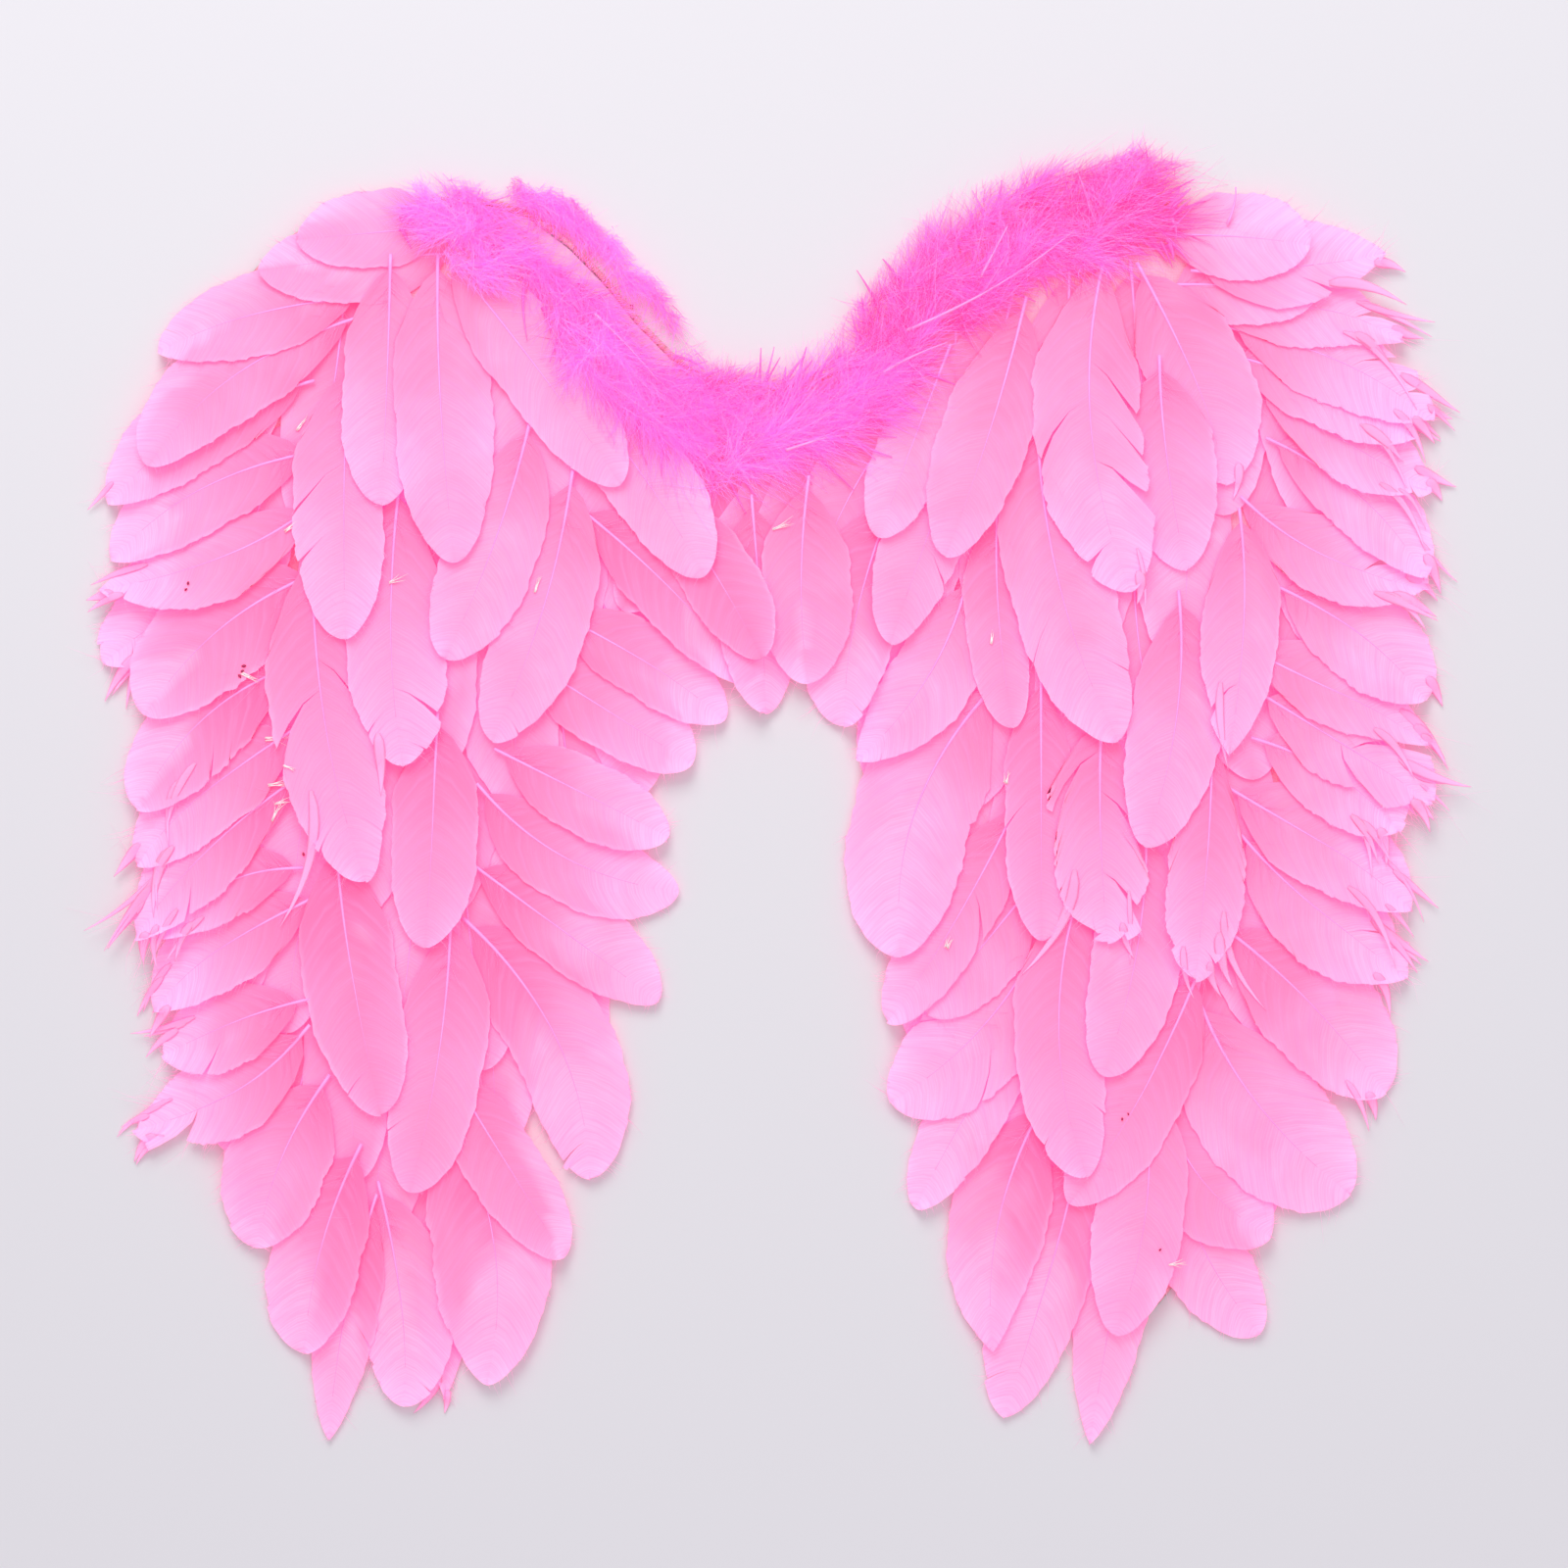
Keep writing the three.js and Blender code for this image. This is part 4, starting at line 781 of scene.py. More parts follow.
class Feather:
    """One feather of a table: its curve, width and laid height."""

    def __init__(self, row, barb_spacing=BARB_SPACING, across=ACROSS, slits=()):
        self.row = row
        self.barb_spacing = barb_spacing
        self.across = across
        self.root = place(row["root_x"], row["root_y"])
        self.tip = place(row["tip_x"], row["tip_y"])
        along = self.tip - self.root
        aside = np.array([-along[1], along[0]])
        self.middle = (self.root + self.tip) / 2 + aside * 2 * row["bow"]
        self.length = float(np.linalg.norm(along))
        self.half = row["width"] * FEATHER_WIDTH / 2
        down = 1.0 if aside[1] < 0 else -1.0
        self.hook = aside * down * HOOK * row["fray"] * RNG.uniform(-0.4, 1.2)
        self.down = aside * down / self.length
        self.slits = slits

    def point(self, share):
        s = np.asarray(share)[..., None]
        hooked = np.clip((s - HOOK_STARTS_AT) / (1 - HOOK_STARTS_AT), 0, None) ** 2
        curve = (1 - s) ** 2 * self.root + 2 * s * (1 - s) * self.middle + s ** 2 * self.tip
        return curve + hooked * self.hook

    def normal(self, share):
        along = self.point(np.asarray(share) + 0.01) - self.point(np.asarray(share) - 0.01)
        along = along / np.linalg.norm(along, axis=-1, keepdims=True)
        return np.stack([-along[..., 1], along[..., 0]], axis=-1)

    def half_width(self, share):
        opening = np.clip(share / VANE_FULL_AT, 0, 1)
        rise = ROOT_WIDTH + (1 - ROOT_WIDTH) * np.sin(opening * math.pi / 2)
        begins = TIP_STARTS_AT - TIP_EARLIER * (self.row["end"] - 0.5)
        closing = np.clip((share - begins) / (1 - begins), 0, 1)
        return self.half * rise * np.clip(1 - closing ** 2, 0, 1) ** (self.row["end"] + TIP_TAPER)

    def lay(self, ground):
        """Drapes the feather over the ground: it spans hollows and is only ever raised."""
        u, v = np.meshgrid(np.linspace(0, 1, 41), np.linspace(-1, 1, 13), indexing="ij")
        flat = self.point(u) + self.normal(u) * (v * self.half_width(u))[..., None]
        self.thin = np.clip(1 - (ground.height(flat) - FLOOR_CLEARANCE) / THIN_DEPTH, 0, 1)
        need = ground.highest_near(flat) + LAY_GAP
        height = need
        for _ in range(40):
            height = np.maximum(need, blurred(height, 2))
        height = np.maximum(blurred(height, 2), need - LAY_GAP / 2)
        twist = RNG.uniform(-TWIST, TWIST) * (1 + self.row["fray"])
        height = height + self.row["lift"] * TIP_LIFT * u ** 2 + ARCH * (1 - v ** 2) * (1 - 0.5 * u)
        height = height + np.maximum(twist * v, 0) * u
        self.height = height
        fine_u, fine_v = np.meshgrid(
            np.linspace(0, 1, 200), np.linspace(-1, 1, 60), indexing="ij")
        points = self.point(fine_u)
        points = points + self.normal(fine_u) * (fine_v * self.half_width(fine_u))[..., None]
        tops = grid_value(height, fine_u, (fine_v + 1) / 2) + VANE_THICKNESS
        ground.raise_to(points, tops)

    def height_at(self, share, across):
        return grid_value(self.height, share, (across + 1) / 2)

    def thin_at(self, share, across):
        """How far single this feather lies there: 1 over the bare floor, 0 on a full stack."""
        return grid_value(self.thin, share, (across + 1) / 2)


def cut_locks(count, fray):
    """Cuts a side's barbs into locks: the barbs where they start, and the end. A sound feather
    has only one or two splits a side, a frayed one many, mostly towards its tip."""
    starts = [0]
    while starts[-1] < count:
        share = starts[-1] / count
        whole = 1 - fray * (0.1 + 0.9 * share ** 1.5)
        size = 7 + 56 * whole ** 2.2
        starts.append(starts[-1] + max(3, int(RNG.normal(size, size / 2.5))))
    last = count - 3 - int(14 * (1 - fray))
    return [start for start in starts if start < last] + [count]


def vane_side(feather, side, width_share):
    """The sheet of barbs on one side of the rachis, as rows of points, with uvs and lock ends."""
    fray = min(1.0, 1.15 * feather.row["fray"] + 0.05)
    count = max(20, int(feather.length / feather.barb_spacing))
    spread = np.linspace(0, 1, count)
    base = VANE_STARTS_AT + (1 - VANE_STARTS_AT) * (1 - (1 - spread) ** 1.25)
    lean = min(BARB_LEAN * feather.half / feather.length, 0.3)
    reach = base + lean * (1 - base ** 2.4)
    phase = RNG.uniform(0, 6, 3)
    skew = RNG.uniform(-0.16, 0.02)
    wave = 1 + 0.03 * np.sin(reach * 9 + phase[0]) + 0.015 * np.sin(reach * 31 + phase[1])
    wave = wave + 0.012 * np.sin(reach * 83 + phase[2]) + skew * reach ** 3
    wave = wave + RNG.normal(0, 0.003 + 0.007 * fray, count)
    width = feather.half_width(reach) * width_share * wave
    starts = cut_locks(count, fray)
    for slit_side, share_of_slit, *_ in feather.slits:
        if slit_side == side:
            starts.append(int(np.searchsorted(base, share_of_slit)))
    starts = sorted(set(starts))
    t = np.array(feather.across)
    rows = []
    for first, stop in zip(starts[:-1], starts[1:]):
        members = np.arange(first, min(stop + 1, count))
        place_in = np.linspace(-1, 1, len(members))[:, None]
        small = np.clip(1 - len(members) / 30, 0, 1)
        middle = reach[members].mean()
        tipward = middle ** 1.6
        focus = middle + RNG.uniform(0.0, 0.9) * (reach[members[-1]] - middle)
        flame = np.clip(fray * 1.6 - 0.5, 0, 1) * tipward
        pinch = RNG.uniform(0.0, 0.03) + fray * tipward * RNG.uniform(0.0, 0.3)
        settled = TIP_HOLDS if stop == count else 1.0
        pinch = min(pinch + flame * (0.4 + small), 0.94) * settled
        longer = RNG.uniform(-0.22, 0.22) * fray * tipward * settled
        forward = RNG.uniform(-0.1, 1.0) * fray * tipward * 0.12 * settled
        tilt = RNG.uniform(-0.3, 0.7) * (0.3 + 2.5 * fray * tipward) * settled
        rounding = 1 - RNG.uniform(0.0, 0.03 + 0.12 * fray) * np.abs(place_in) ** 6 * t ** 4
        start = base[members, None]
        share = start + (reach[members, None] - start) * t ** BARB_CURVE
        share = share - pinch * (reach[members, None] - focus) * t ** 3 + forward * t ** 2
        lateral = width[members, None] * t * (1 + longer * t ** 2) * rounding
        rows.append((share, lateral, tilt * t ** 2 + 0 * share, start + 0 * share))
    locks = [len(row[0]) for row in rows]
    share, lateral, raised, bases = (np.concatenate(column) for column in zip(*rows))
    share = share + open_slits(feather, side, bases, t)
    share = np.clip(share, 0, 1.07)
    local = np.maximum(feather.half_width(np.clip(share, 0, 0.995)), 1.0)
    across = np.clip(side * lateral / local, -1, 1)
    flat = feather.point(share) + feather.normal(share) * (side * lateral)[..., None]
    z = feather.height_at(np.clip(share, 0, 1), across) + raised
    points = np.concatenate([flat, z[..., None]], axis=-1)
    uvs = np.stack([bases * feather.length, lateral], axis=-1)
    return points, uvs, locks, share, across


def open_slits(feather, side, bases, t):
    """Parts the barbs round the feather's slits: lens-shaped holes between the rachis and edge."""
    moved = np.zeros(bases.shape)
    for slit_side, share, width, near, far in feather.slits:
        if slit_side != side:
            continue
        lens = np.sin(np.clip((t - near) / (far - near), 0, 1) * math.pi)
        away = (bases - share) * feather.length
        moved += np.sign(away) * np.exp(-np.abs(away) / SLIT_FADE) * lens * width / 2 / feather.length
    return moved


def sheet_faces(rows, columns, locks):
    """Quads of the upper sheet, by lock, and the closed rim of each lock."""
    quads = []
    rims = []
    start = 0
    for size in locks:
        i, j = np.meshgrid(np.arange(start, start + size - 1), np.arange(columns - 1), indexing="ij")
        a = i * columns + j
        quads.append(np.stack([a, a + 1, a + columns + 1, a + columns], axis=-1).reshape(-1, 4))
        first, last = start * columns, (start + size - 1) * columns
        forward = np.arange(columns) + first
        outer = np.arange(start + 1, start + size) * columns + columns - 1
        back = last + np.arange(columns - 2, -1, -1)
        inner = np.arange(start + size - 2, start, -1) * columns
        rims.append(np.concatenate([forward, outer, back, inner]))
        start += size
    return np.concatenate(quads), rims


def add_wisps(parts, feather, points, share, tones):
    """Barb tips that stand free of the vane's edge, longer where a feather is frayed."""
    fray = feather.row["fray"]
    count = int(WISPS * (1 + fray))
    rows = RNG.integers(2, len(points), count)
    foot = points[rows, -1]
    direction = foot - points[rows, -2]
    size = np.linalg.norm(direction, axis=1, keepdims=True)
    direction = direction / np.maximum(size, 0.05)
    tipward = share[rows, -1] ** 2
    drawn = np.minimum(RNG.exponential(1.0, count), 2.0)
    length = WISP_LENGTH * drawn * (1 + 3.5 * fray * tipward) + 0.6
    bend = RNG.normal(0, 0.35, (count, 3)) * [1, 1, 0.3] + [0, 0, 0.05]
    end_level = foot[:, 2] + (direction[:, 2] + bend[:, 2]) * length
    bend[:, 2] += np.maximum(0, FLOOR_CLEARANCE - end_level) / length
    add_barbs(parts, foot - direction, direction, bend, length + 1, np.full(count, WISP_RADIUS),
              tones[rows, -1], segments=2)


def add_tip_locks(parts, feather, ground):
    """Narrow pale locks of barbs that part from a frayed tip and curve down beside it."""
    steps = np.linspace(0, 1, 9)
    for _ in range(int(TIP_LOCKS * (feather.row["fray"] - 0.3))):
        share = RNG.uniform(0.66, 0.95)
        side = RNG.choice([-1.0, 1.0])
        aside = feather.normal(share) * side
        foot = feather.point(share) + aside * 0.55 * feather.half_width(share)
        ahead = feather.point(share) - feather.point(share - 0.05)
        ahead = ahead / np.linalg.norm(ahead)
        length = (1.04 - share) * feather.length * RNG.uniform(0.7, 1.15) + 5
        curl = aside * RNG.uniform(0.0, 0.35) + feather.down * RNG.uniform(0.0, 0.5)
        flat = foot + ahead * (length * steps)[:, None] + curl * (length * steps ** 2)[:, None]
        start = float(feather.height_at(share, 0.55 * side))
        level = np.maximum(ground.height(flat) + 0.35, start - 3 * steps)
        belly = np.sin(math.pi * (0.02 + 0.98 * steps) ** 0.55)
        radii = TIP_LOCK_WIDTH / 2 * RNG.uniform(0.4, 1.2) * belly + 0.1
        # Painted light: the locks are painted pale, and paler and more lilac towards their ends, as
        # light through the thin barbs.
        pale = 0.75 + 0.25 * steps
        tones = np.stack([pale, 0.3 + 0.5 * steps, 0 * steps], axis=1)
        centres = np.concatenate([flat, blurred(level[:, None], 2)], axis=1)
        add_tube(parts, centres, radii, 6, flat=0.1, tones=tones)


def add_vane(parts, feather):
    """Both sides of the vane, each lock a thin closed sheet."""
    row = feather.row
    narrow = RNG.uniform(-0.12, 0.12)
    hue = np.clip(row["pale"] + RNG.uniform(-0.15, 0.15), 0, 1)
    lilac = RNG.uniform(0.0, 0.3)
    edges = []
    for side in (1, -1):
        points, uvs, locks, share, across = vane_side(feather, side, 1 + side * narrow)
        count, columns = points.shape[:2]
        quads, rims = sheet_faces(count, columns, locks)
        edge = share ** 2
        thin = feather.thin_at(np.clip(share, 0, 1), across)
        painted_edge_highlight = PAINTED_EDGE_HIGHLIGHT * (np.array(feather.across) == 1.0)
        # Painted light and shade in the tone: the pale channel is raised where the feather lies single
        # over the floor, as painted light from the floor, and on its outer edge, as a painted
        # highlight, and lowered in the middle of the vane, as painted shade. The lilac channel also
        # grows where it lies single and towards its edges. The deep channel paints shade on the root
        # half.
        tones = np.stack([
            np.clip(hue + edge * (0.15 + 0.7 * row["fray"] * share) - 0.15 * (1 - np.abs(across))
                    + 0.8 * thin + painted_edge_highlight, 0, 1),
            np.clip(lilac + edge * (0.2 * np.abs(across) + 0.5 * thin + 0.9 * row["fray"] * share),
                    0, 1),
            np.clip(0.5 * (1 - share * 2.0), 0, 0.5),
        ], axis=-1)
        edges.append((points, share, tones))
        tones = tones.reshape(-1, 3)
        top = points.reshape(-1, 3)
        flat_uvs = uvs.reshape(-1, 2)
        below = top - np.array([0, 0, VANE_THICKNESS])
        lower = quads[:, ::-1]
        if side < 0:
            upper_quads, lower_quads = quads, lower
        else:
            upper_quads, lower_quads = lower, quads
        parts.add(top, upper_quads, uvs=flat_uvs, tones=tones)
        parts.add(below, lower_quads, uvs=flat_uvs, tones=tones)
        for rim in rims:
            size = len(rim)
            k = np.arange(size)
            after = (k + 1) % size
            wall = np.stack([k, k + size, after + size, after], axis=-1)
            wall = wall if side < 0 else wall[:, ::-1]
            parts.add(np.concatenate([top[rim], below[rim]]), wall,
                      uvs=np.tile(flat_uvs[rim], (2, 1)), tones=np.tile(tones[rim], (2, 1)))
    return edges


def add_tube(parts, centres, radii, sides, flat=1.0, tones=None, slot=0):
    """A closed tube along centres, its section flattened in height by flat."""
    count = len(centres)
    along = np.gradient(centres, axis=0)
    along /= np.linalg.norm(along, axis=1, keepdims=True)
    aside = np.stack([-along[:, 1], along[:, 0], np.zeros(count)], axis=1)
    aside /= np.maximum(np.linalg.norm(aside, axis=1, keepdims=True), 1e-6)
    up = np.cross(along, aside)
    angles = np.arange(sides) / sides * 2 * math.pi
    ring = (np.cos(angles)[None, :, None] * aside[:, None, :]
            + flat * np.sin(angles)[None, :, None] * up[:, None, :])
    points = (centres[:, None, :] + ring * radii[:, None, None]).reshape(-1, 3)
    i, j = np.meshgrid(np.arange(count - 1), np.arange(sides), indexing="ij")
    after = (j + 1) % sides
    quads = np.stack([i * sides + j, i * sides + after, (i + 1) * sides + after,
                      (i + 1) * sides + j], axis=-1).reshape(-1, 4)
    fan = np.arange(1, sides - 1)
    start_cap = np.stack([0 * fan, fan + 1, fan], axis=-1)
    end = (count - 1) * sides
    end_cap = np.stack([end + 0 * fan, end + fan, end + fan + 1], axis=-1)
    spread = None if tones is None else np.repeat(tones, sides, axis=0)
    parts.add(points, quads, np.concatenate([start_cap, end_cap]), tones=spread, slot=slot)


def add_rachis(parts, feather):
    """The feather's shaft, from a bare stub below the vane, sunk halfway into the vane's top."""
    share = np.linspace(0, RACHIS_END, 26)
    flat = feather.point(share)
    z = feather.height_at(share, 0 * share)
    width = RACHIS_WIDTH * (0.55 + 0.45 * feather.row["width"]) * (1 - share / RACHIS_END) ** 1.1
    radii = np.maximum(width / 2, 0.08)
    centres = np.concatenate([flat, z[:, None]], axis=1)
    back = centres[0] - centres[1]
    back = back / np.linalg.norm(back) * CALAMUS_LENGTH
    stub = centres[0] + back + np.array([0, 0, -0.4])
    add_tube(parts, np.vstack([stub, centres]), np.concatenate([radii[:1], radii]),
             RACHIS_SIDES, flat=0.7, slot=1)


def add_down(parts, feather):
    """Loose curly down at the foot of the vane."""
    share = RNG.uniform(0.0, 0.16, DOWN_COUNT)
    side = RNG.choice([-1.0, 1.0], DOWN_COUNT)
    normal = feather.normal(share) * side[:, None]
    along = np.stack([normal[:, 1], -normal[:, 0]], axis=1) * side[:, None]
    height = feather.height_at(share, 0 * share)
    foot = np.concatenate([feather.point(share), height[:, None]], axis=1)
    level = np.zeros((DOWN_COUNT, 1))
    lean = RNG.uniform(0.2, 1.2, (DOWN_COUNT, 1))
    direction = np.concatenate([normal * np.sin(lean) + along * np.cos(lean), level + 0.12], axis=1)
    direction /= np.linalg.norm(direction, axis=1, keepdims=True)
    bend = RNG.normal(0, 0.35, (DOWN_COUNT, 3)) * [1, 1, 0.3]
    length = DOWN_LENGTH * RNG.uniform(0.5, 1.3, DOWN_COUNT)
    tones = np.stack([RNG.uniform(0.2, 0.7, DOWN_COUNT)] * 2 + [np.zeros(DOWN_COUNT)], axis=1)
    add_barbs(parts, foot, direction, bend, length, np.full(DOWN_COUNT, DOWN_RADIUS), tones)


def add_feather(parts, feather, ground, loose=True):
    """Lays one feather, with its loose barbs where they can be seen."""
    feather.lay(ground)
    edges = add_vane(parts, feather)
    add_rachis(parts, feather)
    if loose:
        add_down(parts, feather)
        add_tip_locks(parts, feather, ground)
        for points, share, tones in edges:
            add_wisps(parts, feather, points, share, tones)


def lay_under_feathers(ground, name, side, materials):
    """Rows of plain feathers glued over a panel, which fill it under the others."""
    parts = MeshParts()
    for line in reversed(UNDER_ROWS):
        for x in np.linspace(line["first"], line["last"], line["count"]):
            root_x = x + RNG.uniform(-0.02, 0.02)
            root_y = line["y"] + RNG.uniform(-0.015, 0.015)
            lean = UNDER_LEAN * (x - 0.5) / 0.25 + RNG.uniform(-0.04, 0.04)
            row = {
                "root_x": side * root_x, "root_y": root_y,
                "tip_x": side * (root_x + lean), "tip_y": root_y - line["length"],
                "width": RNG.uniform(0.9, 1.1), "bow": RNG.uniform(-0.05, 0.05),
                "lift": 0.0, "end": 0.5, "fray": 0.15, "pale": 0.3,
            }
            feather = Feather(row, HIDDEN_BARB_SPACING, HIDDEN_ACROSS)
            add_feather(parts, feather, ground, loose=False)
    dress(parts.make(f"{name}_vanes", materials), "feathers")


def lay_fan(ground, node, rows, materials):
    """One fan of feathers as one piece, which stands for the fan's node."""
    parts = MeshParts()
    for number, row in enumerate(rows, 1):
        add_feather(parts, Feather(row, slits=slits_of(node, number)), ground)
    dress(parts.make(f"{node}_vanes", materials), "feathers", node)


def lay_covers(ground, node, rows, materials):
    """Single feathers over the fans, each standing for its own node."""
    for number, row in enumerate(rows, 1):
        parts = MeshParts()
        add_feather(parts, Feather(row, slits=slits_of(node, number)), ground)
        piece = parts.make(f"{node}_{number:02d}_vane", materials)
        dress(piece, "feathers", f"{node}_{number:02d}")


# Curves through the points of a table

def spline(points, share):
    """Catmull-Rom spline through points, at shares of its length in points."""
    last = len(points) - 1
    position = np.clip(np.asarray(share) * last, 0, last - 1e-9)
    i = position.astype(int)
    t = (position - i)[..., None]
    p = [points[np.clip(i + k, 0, last)] for k in (-1, 0, 1, 2)]
    v0, v1 = (p[2] - p[0]) / 2, (p[3] - p[1]) / 2
    return ((2 * p[1] - 2 * p[2] + v0 + v1) * t ** 3
            + (3 * p[2] - 3 * p[1] - 2 * v0 - v1) * t ** 2 + v0 * t + p[1])


# Rim wire

def wind_rim(node, side, material):
    """Half of the rim: tape wound round the wire, its edge raised at each turn."""
    points = np.array([place(side * row["x"], row["y"]) for row in RIM])
    points[0, 0] = points[-1, 0] = TABLE_ORIGIN[0] + side * 0.5
    length = np.linalg.norm(np.diff(points, axis=0), axis=1).sum()
    share = np.linspace(0, 1, int(length / TAPE_STEP))
    flat = spline(points, share)
    step = np.modf(share * length / TAPE_TURN)[0]
    radii = WIRE_DIAMETER / 2 * (0.90 + 0.10 * step)
    centres = np.concatenate([flat, np.full((len(flat), 1), WIRE_DIAMETER / 2)], axis=1)
    # Painted shade: a band at the foot of each turn's raised edge is marked for a darker tape colour.
    edge = np.where(step < 0.22, 0.6, 0.0)
    parts = MeshParts()
    add_tube(parts, centres, radii, 12, tones=np.stack([edge] * 3, axis=1))
    dress(parts.make(f"{node}_tape", [material]), "wrapped_wire", node)


# Marabou

def add_barbs(parts, start, direction, bend, length, radius, tones, segments=4):
    """Loose barbs: thin three-sided tapers from start, bending by bend towards their ends."""
    count = len(start)
    t = np.linspace(0, 1, segments + 1)
    centre = (start[:, None, :] + direction[:, None, :] * (length[:, None] * t)[..., None]
              + bend[:, None, :] * (length[:, None] * t ** 2)[..., None])
    reference = np.where(np.abs(direction[:, 2:]) > 0.8, [[1.0, 0, 0]], [[0, 0, 1.0]])
    aside = np.cross(direction, reference)
    aside /= np.linalg.norm(aside, axis=1, keepdims=True)
    up = np.cross(direction, aside)
    angles = np.arange(3) / 3 * 2 * math.pi + 0.4
    ring = (np.cos(angles)[None, :, None] * aside[:, None, :]
            + np.sin(angles)[None, :, None] * up[:, None, :])
    taper = radius[:, None] * (1 - 0.8 * t)
    points = centre[:, :, None, :] + ring[:, None, :, :] * taper[:, :, None, None]
    per = 3 * (segments + 1)
    k, j = np.meshgrid(np.arange(segments), np.arange(3), indexing="ij")
    after = (j + 1) % 3
    quads = np.stack([3 * k + j, 3 * (k + 1) + j, 3 * (k + 1) + after, 3 * k + after], axis=-1)
    offsets = np.arange(count)[:, None, None] * per
    quads = (quads.reshape(1, -1, 4) + offsets).reshape(-1, 4)
    end = 3 * segments
    caps = (np.array([[0, 1, 2], [end, end + 2, end + 1]])[None] + offsets).reshape(-1, 3)
    spread = np.repeat(tones[:, None, :], segments + 1, axis=1)
    # Painted light: the first tone channel is painted paler towards each barb's end, where light
    # passes through the thin barb.
    spread[..., 0] = np.clip(spread[..., 0] + 0.6 * t[None, :] ** 1.5, 0, 1)
    spread = np.repeat(spread, 3, axis=1).reshape(-1, 3)
    parts.add(points.reshape(-1, 3), quads, caps, tones=spread)


def trim_at(position):
    """The trim's middle, direction and width at a row of TRIM, or between two rows."""
    last = len(TRIM) - 1
    points = np.array([place(row["x"], row["y"]) for row in TRIM])
    middle = spline(points, position / last)
    ahead = spline(points, np.minimum(position + 0.05, last) / last)
    behind = spline(points, np.maximum(position - 0.05, 0) / last)
    along = ahead - behind
    along = along / np.linalg.norm(along, axis=-1, keepdims=True)
    width = TRIM_WIDTH * np.interp(position, np.arange(last + 1), [row["width"] for row in TRIM])
    return middle, along, width


